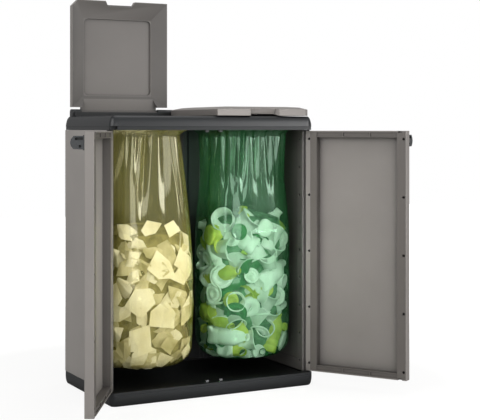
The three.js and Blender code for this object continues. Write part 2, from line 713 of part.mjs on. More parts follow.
/** Blind holes up a stile, the same above and below the middle of the door. */
function stileHoles(x) {
  const pitch = (DOOR_HEIGHT / 2 - STILE_HOLE_END) / ((STILE_HOLES - 1) / 2);
  return Array.from({ length: STILE_HOLES }, (_, i) => {
    const [radius, length] = [STILE_HOLE_RADIUS, 2 * STILE_HOLE_DEPTH];
    const hole = new THREE.CylinderGeometry(radius, radius, length, 12);
    return hole.translate(x, DOOR_INNER, DOOR_MIDDLE + (i - (STILE_HOLES - 1) / 2) * pitch);
  });
}

/** Plan outline of a shut door: the cabinet's corner form at the hinge, small rounds at the free edge. */
function doorOutline() {
  const free = { round: FREE_EDGE_RADIUS };
  const corner = { round: FRONT_CORNER_ACROSS, deep: FRONT_CORNER_DEEP };
  return cornerOutline(
    -HINGE_INSET_SIDE, DOOR_REACH, DOOR_OUTER, DOOR_INNER, [corner, free, free, free], 8,
  );
}

function doorSkin() {
  const bore = HINGE_PIN_RADIUS + RUNNING_GAP;
  const boreDepth = HINGE_PIN_DEPTH + RUNNING_GAP;
  return carve([prism(doorOutline(), DOOR_BOTTOM, DOOR_TOP)], [
    block(
      HINGE_STILE_START, DOOR_REACH - MOULD_WALL, DOOR_OUTER + MOULD_WALL, DOOR_INNER + 1,
      DOOR_BOTTOM + MOULD_WALL, DOOR_TOP - MOULD_WALL,
    ),
    uprightRod(0, 0, bore, DOOR_BOTTOM - 1, DOOR_BOTTOM + boreDepth),
    uprightRod(0, 0, bore, DOOR_TOP - boreDepth, DOOR_TOP + 1),
    ...stileHoles(STILE_HOLE_HINGE_X),
    ...catchNotches(),
  ]);
}

function doorLiner() {
  const [x0, x1] = [HINGE_STILE_START + SEAT_GAP, DOOR_REACH - MOULD_WALL - SEAT_GAP];
  const [z0, z1] = [DOOR_BOTTOM + MOULD_WALL + SEAT_GAP, DOOR_TOP - MOULD_WALL - SEAT_GAP];
  const [near, far] = [HINGE_STILE_END, DOOR_REACH - FREE_STILE_WIDTH];
  const [low, high] = [DOOR_BOTTOM + RAIL_HEIGHT, DOOR_TOP - RAIL_HEIGHT];
  const deep = DOOR_OUTER + MOULD_WALL + SEAT_GAP;
  const behind = DOOR_INNER - LINER_WALL;
  const frame = block(x0, x1, deep, DOOR_INNER, z0, z1);
  const tools = [
    block(near, far, deep - 1, DOOR_INNER + 1, low, high),
    block(x0 - 1, near - LINER_WALL, deep - 1, behind, low, high),
    block(far + LINER_WALL, x1 + 1, deep - 1, behind, low, high),
    ...stileHoles(DOOR_REACH - STILE_HOLE_EDGE),
    ...catchNotches(),
  ];
  const pitch = (far - near + RAIL_RIB_WIDTH) / (RAIL_RIBS + 1);
  for (let i = 0; i <= RAIL_RIBS; i += 1) {
    const [a, b] = [near + i * pitch, near + (i + 1) * pitch - RAIL_RIB_WIDTH];
    const floor = DOOR_INNER - RAIL_POCKET_DEPTH;
    tools.push(block(a, b, floor, DOOR_INNER + 1, z0 + LINER_WALL, low - LINER_WALL));
    tools.push(block(a, b, floor, DOOR_INNER + 1, high + LINER_WALL, z1 - LINER_WALL));
  }
  return carve([frame], tools);
}

/** Upright D-shaped pull with a blind finger slot and eye, on a flange against the door face. */
function doorHandle() {
  const face = DOOR_OUTER - SEAT_GAP;
  const [x0, x1] = [DOOR_REACH - HANDLE_SETBACK - HANDLE_THICKNESS, DOOR_REACH - HANDLE_SETBACK];
  const top = DOOR_TOP - HANDLE_TOP_DROP;
  const bottom = top - HANDLE_HEIGHT;
  const nose = face - HANDLE_REACH;
  const corner = HANDLE_HEIGHT / 4;
  const profile = [
    [face, bottom], [face, top], [nose + corner, top], [nose + corner / 4, top - corner],
    [nose, (top + bottom) / 2], [nose + corner / 4, bottom + corner], [nose + corner, bottom + 1],
  ];
  const grip = profileAlongX(profile, x0, x1);
  const flange = block(x0 - 2 * HANDLE_THICKNESS, x1, face - HANDLE_PLATE, face, bottom - 2, top + 2);
  const slotTop = top - HANDLE_PLATE;
  const eye = levelRod(
    face - PADLOCK_EYE_REACH, bottom + PADLOCK_EYE_RISE, PADLOCK_EYE_RADIUS, x0 + HANDLE_WEB, x1 + 1, 16,
  );
  const slot = block(
    x0 + HANDLE_WEB, x1 + 1, face - HANDLE_PLATE - HANDLE_SLOT_LENGTH, face - HANDLE_PLATE,
    slotTop - HANDLE_SLOT_HEIGHT, slotTop,
  );
  return carve([grip, flange], [slot, eye]);
}

// ---------------------------------------------------------------- lids, drawn shut with the hinge axis at the origin
const lidFront = FRONT + LID_INSET_FRONT - LID_AXIS_Y;
const lidRim = DECK + LID_RIM_GAP - LID_AXIS_Z;
const lidShoulder = lidRim + LID_SKIRT;

/** Square outline drawn in evenly, with the outer front corner cut off. */
function lidOutline(inset) {
  const square = { round: 0 };
  const outer = { cut: Math.max(LID_CHAMFER - inset, 0) };
  return cornerOutline(
    inset, LID_WIDTH - inset, lidFront + inset, -LID_REAR_CLEAR - inset,
    [outer, square, square, square], 4,
  );
}

/** Outline of the recessed panel inside the borders, grown by a step. */
function lidPanelOutline(step, corner) {
  return cornerOutline(
    LID_BORDER_OUTER - step, LID_WIDTH - LID_BORDER_INNER + step,
    lidFront + LID_BORDER_FRONT - step, -LID_REAR_CLEAR - LID_BORDER_REAR + step, corner, 4,
  );
}

/** Finger notch in the front edge, deeper at the rim than at the top. */
function lidNotch() {
  const centre = LID_WIDTH / 2;
  const outline = (inner, depth) => [
    new THREE.Vector2(centre - LID_NOTCH_WIDTH / 2, lidFront - 1),
    new THREE.Vector2(centre + LID_NOTCH_WIDTH / 2, lidFront - 1),
    new THREE.Vector2(centre + inner / 2, lidFront + depth),
    new THREE.Vector2(centre - inner / 2, lidFront + depth),
  ];
  const low = outline(LID_NOTCH_INNER_WIDTH, LID_NOTCH_DEPTH);
  const high = outline(LID_NOTCH_TOP_INNER_WIDTH, LID_NOTCH_TOP_DEPTH);
  return loft([{ points: low, z: lidRim - 1 }, { points: high, z: lidShoulder + LID_CROWN }]);
}

/** Hinge flap behind the lid, and the level way cut for it through the rear border. */
function lidFlap() {
  const [start, end] = [LID_FLAP_INSET, LID_WIDTH - LID_FLAP_INSET];
  const root = -LID_REAR_CLEAR - BAR_WALL;
  const flap = profileAlongX([
    [root, LID_FLAP_LOW + LID_FLAP_THICKNESS],
    [-LID_BARREL_RADIUS, LID_FLAP_LOW + LID_FLAP_THICKNESS - 1],
    [0, LID_BARREL_RADIUS], [0, 0], [-LID_BARREL_RADIUS, LID_FLAP_LOW], [root, LID_FLAP_LOW],
  ], start, end);
  const panelRear = -LID_REAR_CLEAR - LID_BORDER_REAR;
  const way = prism([
    new THREE.Vector2(LID_BORDER_OUTER, panelRear - 1),
    new THREE.Vector2(LID_WIDTH - LID_BORDER_INNER, panelRear - 1),
    new THREE.Vector2(end, -LID_REAR_CLEAR + 1),
    new THREE.Vector2(start, -LID_REAR_CLEAR + 1),
  ], lidRim - 1, LID_FLAP_LOW);
  return { flap, way, barrel: levelRod(0, 0, LID_BARREL_RADIUS, start, end, 24), start, end };
}

function lidMoulding() {
  const body = loft([
    { points: lidOutline(0), z: lidRim },
    { points: lidOutline(0), z: lidShoulder - LID_EDGE_CHAMFER },
    { points: lidOutline(LID_EDGE_CHAMFER), z: lidShoulder },
    { points: lidOutline(LID_CROWN_BORDER / 2), z: lidShoulder + LID_CROWN * 0.75 },
    { points: lidOutline(LID_CROWN_BORDER), z: lidShoulder + LID_CROWN },
  ]);
  const dish = loft([
    { points: lidOutline(LID_RIM_WIDTH), z: lidRim - 1 },
    { points: lidOutline(LID_RIM_WIDTH), z: lidRim },
    { points: lidPanelOutline(LID_PANEL_STEP, alike(0)), z: lidRim + LID_SLOPE },
  ]);
  const recess = prism(lidPanelOutline(0, alike(LID_PANEL_RADIUS)), lidRim - 1, lidRim + LID_RECESS);
  const { flap, way, barrel, start, end } = lidFlap();
  const grip = LID_PIN_GRIP + RUNNING_GAP;
  const bore = LID_PIN_RADIUS + RUNNING_GAP;
  const cutBody = carve([body], [dish, recess, way, lidNotch()]);
  return carve([cutBody, flap, barrel], [
    levelRod(0, 0, bore, start - 1, start + grip, 16), levelRod(0, 0, bore, end - grip, end + 1, 16),
  ]);
}

// ---------------------------------------------------------------- assembly
place('base_tray', baseTray(), slateResin);
const leftPanel = sidePanel();
place('side_panel_left', leftPanel, taupeResin);
place('side_panel_right', mirrored(leftPanel), taupeResin);
place('back_panel', backPanel(), slateResin);
place('top_cap', topCap(), slateResin);

const sides = [['left', -1], ['right', 1]];
const fills = {
  left: ['paper_heap', PAPER_TOP_Z, paper, yellowFilm],
  right: ['bottle_heap', BOTTLE_TOP_Z, bottlePlastic, greenFilm],
};
const skin = doorSkin();
const liner = doorLiner();
const handle = doorHandle();
const lid = lidMoulding();
const lidPin = levelRod(0, 0, LID_PIN_RADIUS, -LID_PIN_GRIP, LID_PIN_GRIP, 16);
const doorPins = {
  lower: doorPin(BASE_HEIGHT - HINGE_PIN_GRIP, DOOR_BOTTOM + HINGE_PIN_DEPTH, BASE_HEIGHT),
  upper: doorPin(DOOR_TOP - HINGE_PIN_DEPTH, CAP_BOTTOM + HINGE_PIN_GRIP, DOOR_TOP),
};
for (const [word, side] of sides) {
  const handed = (geometry) => (side < 0 ? geometry : mirrored(geometry));
  const [heapName, heapTop, heapFinish, film] = fills[word];
  place(`bag_ring_${word}`, bagRing(side), acetal);
  place(`bag_${word}`, bagShell(side), film);
  place(heapName, wasteHeap(side, heapTop), heapFinish);

  for (const [name, pin] of Object.entries(doorPins)) {
    place(`door_pin_${name}_${word}`, pin, acetal).position.set(side * PIVOT_X, PIVOT_Y, 0);
  }
  place(`catch_base_${word}`, doorCatch(side, BASE_HEIGHT + SEAT_GAP, 1), catchResin);
  place(`catch_cap_${word}`, doorCatch(side, CAP_BOTTOM - SEAT_GAP, -1), catchResin);

  const door = new THREE.Group();
  const opened = side < 0 ? DOOR_OPEN_LEFT : DOOR_OPEN_RIGHT;
  door.position.set(side * PIVOT_X, PIVOT_Y, 0);
  door.rotation.z = side * THREE.MathUtils.degToRad(opened);
  place(`door_skin_${word}`, handed(skin), taupeResin, door);
  place(`door_liner_${word}`, handed(liner), linerResin, door);
  place(`door_handle_${word}`, handed(handle), handleResin, door);
  model.add(door);

  const pinMiddles = {
    outer: (OUTER_BARREL_END + outerBossEnd) / 2,
    inner: (INNER_BARREL_END + innerBossEnd) / 2,
  };
  for (const [name, x] of Object.entries(pinMiddles)) {
    place(`lid_pin_${name}_${word}`, lidPin, acetal).position.set(side * x, LID_AXIS_Y, LID_AXIS_Z);
  }
  const lidGroup = new THREE.Group();
  lidGroup.position.set(side * LID_OUTER_X, LID_AXIS_Y, LID_AXIS_Z);
  if (side < 0) lidGroup.rotation.x = -THREE.MathUtils.degToRad(LID_OPEN_ANGLE);
  place(`lid_${word}`, handed(lid), taupeResin, lidGroup);
  model.add(lidGroup);
}

export default model;
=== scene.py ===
"""Looks of the double recycling bin: finishes, bags, their waste, the studio and the camera.

Lengths are metres in the frame's own axes: +Z up, -Y in front of the doors, +X to the right.
"""

import logging
import math
import random
from collections.abc import Callable
from dataclasses import dataclass
from enum import Enum

import bmesh
import bpy
from mathutils import Euler, Matrix, Vector, noise


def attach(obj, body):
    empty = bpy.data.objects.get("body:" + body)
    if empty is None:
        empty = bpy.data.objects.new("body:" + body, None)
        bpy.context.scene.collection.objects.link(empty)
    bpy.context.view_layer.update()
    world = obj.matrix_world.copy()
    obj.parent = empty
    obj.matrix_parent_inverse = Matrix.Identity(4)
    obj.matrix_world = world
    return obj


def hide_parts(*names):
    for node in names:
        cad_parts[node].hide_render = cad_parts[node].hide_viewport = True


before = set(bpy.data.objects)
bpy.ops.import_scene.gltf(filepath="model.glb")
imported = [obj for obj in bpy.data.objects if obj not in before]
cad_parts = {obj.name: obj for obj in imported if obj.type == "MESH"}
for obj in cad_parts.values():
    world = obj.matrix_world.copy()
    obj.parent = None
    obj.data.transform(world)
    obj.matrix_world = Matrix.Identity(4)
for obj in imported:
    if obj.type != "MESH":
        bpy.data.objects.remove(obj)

log = logging.getLogger("recycling_bin")

MM = 0.001
PHOTO_WIDTH, PHOTO_HEIGHT = 480, 420
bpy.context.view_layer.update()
BMesh, Material, Socket = bmesh.types.BMesh, bpy.types.Material, bpy.types.NodeSocket


class Side(Enum):
    """The two halves of the cabinet and the way each lies from its middle."""

    LEFT = -1
    RIGHT = 1


# ---- helpers
def linear(hex_colour: str) -> tuple[float, float, float, float]:
    """Turns an sRGB hex colour to the linear values that shaders take.

    Args:
        hex_colour: A colour such as "#8a8480".

    Returns:
        Red, green, blue and an alpha of 1.
    """
    parts = [int(hex_colour[i:i + 2], 16) / 255 for i in (1, 3, 5)]
    out = [p / 12.92 if p <= 0.04045 else ((p + 0.055) / 1.055) ** 2.4 for p in parts]
    return (out[0], out[1], out[2], 1.0)


def smooth_step(low: float, high: float, value: float) -> float:
    """Rises smoothly from 0 at low to 1 at high.

    Args:
        low: Where the step starts.
        high: Where the step ends; it may lie below low, for a falling step.
        value: The place asked about.

    Returns:
        A number from 0 to 1.
    """
    t = min(max((value - low) / (high - low), 0.0), 1.0)
    return t * t * (3 - 2 * t)


class Graph:
    """A node tree that gets its shader nodes one by one."""

    def __init__(self, owner: Material | bpy.types.World, output: str = "OutputMaterial") -> None:
        """Empties the owner's node tree and gives it an output.

        Args:
            owner: The material or the world.
            output: The kind of its output node.
        """
        owner.use_nodes = True
        self.owner = owner
        self.tree = owner.node_tree
        self.tree.nodes.clear()
        self.output = self.add(output)

    def add(
        self, kind: str, values: dict | None = None, links: dict | None = None, **settings: object,
    ) -> bpy.types.Node:
        """Adds one shader node with its settings, its socket values and its links.

        Args:
            kind: The node's type name, without its ShaderNode.
            values: Socket name or number to a default value.
            links: Socket name or number to the output socket that feeds it.
            **settings: Properties of the node itself.

        Returns:
            The new node.
        """
        node = self.tree.nodes.new(f"ShaderNode{kind}")
        for name, value in settings.items():
            setattr(node, name, value)
        for socket, value in (values or {}).items():
            node.inputs[socket].default_value = value
        for socket, source in (links or {}).items():
            self.tree.links.new(source, node.inputs[socket])
        return node

    def speckle(self, place: Socket, size: float, **values: float) -> Socket:
        """Adds a noise texture.

        Args:
            place: Its place on the piece.
            size: The size of its spots.
            **values: Its other socket values.

        Returns:
            Its value.
        """
        values["Scale"] = 1 / size
        return self.add("TexNoise", values, {"Vector": place}).outputs["Fac"]

    def product(self, first: Socket, second: Socket, kind: str = "Math") -> Socket:
        """Multiplies two numbers, or a colour by a number.

        Args:
            first: One number, or the colour.
            second: The other number.
            kind: "Math" for numbers, "VectorMath" for a colour.

        Returns:
            The product.
        """
        return self.add(kind, links={0: first, 1: second}, operation="MULTIPLY").outputs[0]

    def finish(self, shader: bpy.types.Node) -> Material | bpy.types.World:
        """Gives the output its shader.

        Args:
            shader: The shader node.

        Returns:
            The material or the world.
        """
        self.tree.links.new(shader.outputs[0], self.output.inputs["Surface"])
        return self.owner


def object_from(bm: BMesh, name: str, material: Material) -> bpy.types.Object:
    """Turns a bmesh into a finished object at the origin.

    Args:
        bm: The bmesh, which is freed.
        name: The piece's name.
        material: Its material.

    Returns:
        The new object, linked to the scene.
    """
    mesh = bpy.data.meshes.new(name)
    bm.to_mesh(mesh)
    bm.free()
    mesh.materials.append(material)
    piece = bpy.data.objects.new(name, mesh)
    bpy.context.scene.collection.objects.link(piece)
    return piece


def modify(piece: bpy.types.Object, kind: str, **settings: object) -> None:
    """Gives a piece a modifier.

    Args:
        piece: The piece.
        kind: The modifier's type.
        **settings: Its properties.
    """
    modifier = piece.modifiers.new(kind.lower(), kind)
    for name, value in settings.items():
        setattr(modifier, name, value)


def grow(bm: BMesh, edges: list) -> tuple[list, list]:
    """Extrudes a closed loop of edges once.

    Args:
        bm: The bmesh.
        edges: The loop.

    Returns:
        The new vertices, in the loop's order, and the new edges.
    """
    grown = bmesh.ops.extrude_edge_only(bm, edges=edges)["geom"]
    ring = [part for part in grown if isinstance(part, bmesh.types.BMVert)]
    new = set(ring)
    edges = [
        part for part in grown
        if isinstance(part, bmesh.types.BMEdge) and new.issuperset(part.verts)
    ]
    return ring, edges


def loft(
    steps: int, rows: list[tuple[float, float]],
    place: Callable[[float, float, float], Vector], floor: bool,
) -> BMesh:
    """Makes a closed skin from loops of vertices, one for each row.

    Args:
        steps: The number of vertices in a loop.
        rows: The height and the inset of each row.
        place: Gives a vertex its place from its share of the way round, -1 to 1, and its row.
        floor: Whether the first loop is filled as well as the last.

    Returns:
        The skin.
    """
    bm = bmesh.new()
    share = bm.verts.layers.float.new("share")
    ring = bmesh.ops.create_circle(bm, segments=steps, radius=1.0)["verts"]
    for number, vert in enumerate(ring):
        vert[share] = 2 * (number + 0.5) / steps - 1
    first = edges = list(bm.edges)
    for row, (z, inset) in enumerate(rows):
        for vert in ring:
            vert.co = place(vert[share], z, inset)
        if row + 1 < len(rows):
            ring, edges = grow(bm, edges)
    for loop in (edges, first) if floor else (edges,):
        bmesh.ops.edgeloop_fill(bm, edges=loop)
    bmesh.ops.recalc_face_normals(bm, faces=bm.faces)
    return bm


def join(bm: BMesh, part: BMesh) -> None:
    """Adds one bmesh to another and frees it.

    Args:
        bm: The bmesh that grows.
        part: The bmesh that is added.
    """
    mesh = bpy.data.meshes.new("part")
    part.to_mesh(mesh)
    part.free()
    bm.from_mesh(mesh)
    bpy.data.meshes.remove(mesh)


# ---- finishes
@dataclass(frozen=True)
class Resin:
    """Moulded plastic: matt, with a fine grain and faint flow marks.

    Its shades are painted shade, set to follow the photograph, and stand for no change of material.
    """

    name: str
    colour: str
    roughness: float
    grain: float = 2.4 * MM  # coarser than a moulded grain, so that it shows
    relief: float = 0.05 * MM
    mottle: float = 0.05
    flow: float = 210 * MM
    # painted shade in recesses, from ambient occlusion: the darkest share and its reach
    recess_shade: float = 0.22
    recess_depth: float = 70 * MM
    inside: float = 1.0  # painted shade of the faces that line the cabinet, as a share of their colour
    lining: Vector = Vector((329, 187, 800)) * MM  # the lining's furthest X, Y and Z
    under: bool = False  # painted shade on the open lid's inner side, which faces -Y
    ior: float = 1.49

    def shades(self, graph: Graph, place: Socket) -> list[Socket]:
        """Adds the painted shade of the cabinet's lining, of the open lid's inner side and of
        recesses.

        Args:
            graph: The material's nodes.
            place: The place on the piece.

        Returns:
            The painted shades that this resin's colour is multiplied by.
        """
        shades = []
        # painted shade on the faces inside the box that the cabinet's lining fills
        if self.inside < 1.0:
            parts = graph.add("SeparateXYZ", links={"Vector": place}).outputs
            within = [
                graph.add("Math", {1: 0.0, 2: limit}, {0: part}, operation="COMPARE").outputs[0]
                for part, limit in zip(parts, self.lining)
            ]
            lines = graph.product(graph.product(within[0], within[1]), within[2])
            shades.append(graph.add(
                "MapRange", {"To Min": 1.0, "To Max": self.inside}, {"Value": lines},
            ))
        # painted shade on the open lid's inner side that faces -Y, darkest on its sloping border
        if self.under:
            normal = graph.add("TexCoord").outputs["Normal"]
            facing = graph.add(
                "VectorMath", {1: (0, -1, 0)}, {0: normal}, operation="DOT_PRODUCT",
            ).outputs["Value"]
            depth = graph.add("MapRange", {
                "From Min": 0.93, "From Max": 0.995, "To Min": 0.36, "To Max": 0.6,
            }, {"Value": facing}).outputs["Result"]
            under = graph.add("Math", {1: 0.25}, {0: facing}, operation="GREATER_THAN").outputs[0]
            shades.append(graph.add(
                "MapRange", {"To Min": 1.0}, {"Value": under, "To Max": depth},
            ))
        # painted shade in recesses, from ambient occlusion
        near = graph.add("AmbientOcclusion", {"Distance": self.recess_depth}, samples=8)
        shades.append(graph.add("MapRange", {
            "From Min": 0.15, "From Max": 0.95, "To Min": self.recess_shade,
        }, {"Value": near.outputs["AO"]}))
        return [shade.outputs["Result"] for shade in shades]

    def material(self) -> Material:
        """Builds the node material and returns it."""
        graph = Graph(bpy.data.materials.new(self.name))
        place = graph.add("TexCoord").outputs["Object"]
        grain = graph.speckle(place, self.grain, Detail=2.0)
        flow = graph.speckle(place, self.flow, Detail=3.0, Roughness=0.6)
        base = linear(self.colour)[:3]
        ramp = graph.add("ValToRGB", links={"Fac": flow})
        for element, position, sign in zip(ramp.color_ramp.elements, (0.3, 0.7), (-1, 1)):
            element.position = position
            element.color = (*(part * (1 + sign * self.mottle) for part in base), 1)
        colour = ramp.outputs["Color"]
        for shade in self.shades(graph, place):
            colour = graph.product(colour, shade, "VectorMath")
        rough = graph.add(
            "MapRange", {"To Min": self.roughness - 0.05, "To Max": self.roughness + 0.07},
            {"Value": grain},
        ).outputs["Result"]
        bump = graph.add(
            "Bump", {"Strength": 0.5, "Distance": self.relief}, {"Height": grain},
        ).outputs["Normal"]
        return graph.finish(graph.add(
            "BsdfPrincipled", {"IOR": self.ior},
            {"Base Color": colour, "Roughness": rough, "Normal": bump},
        ))


# moulded plastics, named by resin and colour; the colours are read from the photograph
SLATE = Resin("polypropylene_moulded_slate", "#1c1e20", 0.34, mottle=0.08)
TAUPE = Resin("polypropylene_moulded_taupe", "#8b8682", 0.5)
# the back panel's dark slate is painted shade of the cabinet's inside
BACK = Resin("polypropylene_moulded_back_painted_shade", "#2b2d2f", 0.42, mottle=0.08)
# the side panels' taupe is lighter than the door skins' as painted light, and their lining takes
# painted shade
PANEL = Resin("polypropylene_moulded_taupe_panel", "#9d9894", 0.5, inside=0.4)
# painted shade takes the base tray's floor inside the cabinet almost to black
TRAY = Resin("polypropylene_moulded_slate_tray", "#2b2d2f", 0.42, mottle=0.08, inside=0.12)
# painted shade on the open lid's inner side
LID_INNER = Resin("polypropylene_moulded_taupe_lid", "#8b8682", 0.5, under=True)
# the door liner's darker taupe is painted shade on the same taupe resin
LINER = Resin("polypropylene_moulded_taupe_painted_shade", "#67625e", 0.46)
HANDLE_GREY = Resin("polypropylene_moulded_dark_grey", "#3d3f41", 0.42)
ACETAL = Resin("acetal_moulded_black", "#151617", 0.35, relief=0.02 * MM)
CATCH_GREY = Resin("polypropylene_moulded_light_grey", "#5f6062", 0.4)


# ---- cabinet
FINISHES: dict[str, Resin] = {
    "base_tray": TRAY, "top_cap": SLATE, "back_panel": BACK, "side_panel": PANEL,
    "door_skin": TAUPE, "lid_left": LID_INNER, "lid_right": TAUPE, "door_liner": LINER,
    "door_handle": HANDLE_GREY, "catch": CATCH_GREY, "bag_ring": ACETAL, "door_pin": ACETAL,
    "lid_pin": ACETAL,
}


@dataclass
class Cabinet:
    """The carried-over CAD pieces: eased edges and a finish for each."""

    edge: float = 0.9 * MM
    sharp: float = math.radians(28)
    weld: float = 0.02 * MM  # the most that two corners of one point lie apart
    level: float = math.radians(0.6)  # the most that triangles of one flat face differ

    def dress(self) -> None:
        """Gives every rigid node its finish and its eased edges."""
        made: dict[str, Material] = {}
        for name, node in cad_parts.items():
            looks = (look for start, look in FINISHES.items() if name.startswith(start))
            finish = next(looks, None)
            if finish is None:
                continue
            if finish.name not in made:
                made[finish.name] = finish.material()
            node.data.materials.clear()
            node.data.materials.append(made[finish.name])
            self.ease(node)
            log.info("dressed %s in %s", name, finish.name)

    def ease(self, node: bpy.types.Object) -> None:
        """Welds a node's loose triangles, rounds its edges a little and smooths its curves.

        Args:
            node: The CAD node, whose own mesh stays as it is.
        """
        node.data.polygons.foreach_set("use_smooth", [True] * len(node.data.polygons))
        modify(node, "WELD", merge_threshold=self.weld)
        modify(node, "DECIMATE", decimate_type="DISSOLVE", angle_limit=self.level)
        modify(
            node, "BEVEL", width=self.edge, segments=2, limit_method="ANGLE",
            angle_limit=self.sharp, harden_normals=False,
        )
        modify(node, "WEIGHTED_NORMAL", keep_sharp=False)


# ---- hanging bags
@dataclass(frozen=True)
class Film:
    """Blown polyethylene bag film: tinted, a little milky, glossy and creased by its gathers."""

    name: str
    tint: str
    body: str
    veil: float = 0.085
    shine: str = "#ffffff"
    roughness: float = 0.12
    crease: float = 26 * MM
    relief: float = 0.55 * MM
    ior: float = 1.8  # above polyethylene's own 1.5, for the photograph's strong shine

    def milk(self, graph: Graph, crease: Socket, bump: Socket) -> bpy.types.Node:
        """Adds the film's own body: mostly clear, with a milky share that follows the creases.

        Args:
            graph: The material's nodes.
            crease: The creases' height.
            bump: The creased normal.

        Returns:
            The shader node.
        """
        share = graph.add("MapRange", {
            "From Min": 0.3, "From Max": 0.7, "To Min": self.veil * 0.75, "To Max": self.veil * 1.3,
        }, {"Value": crease}).outputs["Result"]
        clear = graph.add("BsdfTransparent", {"Color": linear(self.tint)})
        body = graph.add(
            "BsdfPrincipled", {"Base Color": linear(self.body), "Roughness": 0.45, "IOR": 1.5},
            {"Normal": bump},
        )
        through = graph.add("BsdfTranslucent", {"Color": linear(self.body)}, {"Normal": bump})
        scatter = graph.add("MixShader", {0: 0.5}, {1: body.outputs[0], 2: through.outputs[0]})
        return graph.add(
            "MixShader", links={0: share, 1: clear.outputs[0], 2: scatter.outputs[0]},
        )

    def material(self) -> Material:
        """Builds the node material and returns it."""
        graph = Graph(bpy.data.materials.new(self.name))
        place = graph.add("TexCoord").outputs["Object"]
        stretched = graph.add("Mapping", {"Scale": (1.0, 1.0, 0.16)}, {"Vector": place})
        crease = graph.speckle(
            stretched.outputs["Vector"], self.crease, Detail=3.0, Roughness=0.55, Distortion=0.8,
        )
        bump = graph.add(
            "Bump", {"Strength": 0.75, "Distance": self.relief}, {"Height": crease},
        ).outputs["Normal"]
        film = self.milk(graph, crease, bump)
        gloss = graph.add(
            "BsdfGlossy", {"Color": linear(self.shine), "Roughness": self.roughness},
            {"Normal": bump},
        )
        edge = graph.add("Fresnel", {"IOR": self.ior}, {"Normal": bump}).outputs[0]
        # a back face would turn Fresnel into total reflection, so only outer faces shine
        back = graph.add("NewGeometry").outputs["Backfacing"]
        outer = graph.add("Math", {0: 1.0}, {1: back}, operation="SUBTRACT").outputs[0]
        return graph.finish(graph.add("MixShader", links={
            0: graph.product(edge, outer), 1: film.outputs[0], 2: gloss.outputs[0],
        }))


@dataclass(frozen=True)
class Pleat:
    """One fold down a bag, in metres round the bag from the middle of its front, and in height."""

    place: float
    width: float
    depth: float
    low: float
    high: float = 0.797
    slant: float = 0.0
    ridge: float = 1.2  # above 1 the fold has a sharp ridge
    fade: float = 0.6  # below 1 the fold deepens fast above its lower end

    def draw(self, around: float, z: float) -> float:
        """How far the fold pulls the film inward.

        Args:
            around: The place round the bag.
            z: The height.

        Returns:
            The pull in metres.
        """
        centre = self.place + self.slant * (self.high - z)
        off = 1.0 - abs(around - centre) / self.width
        if off <= 0.0 or z < self.low:
            return 0.0
        return self.depth * off ** self.ridge * smooth_step(self.low, self.high, z) ** self.fade


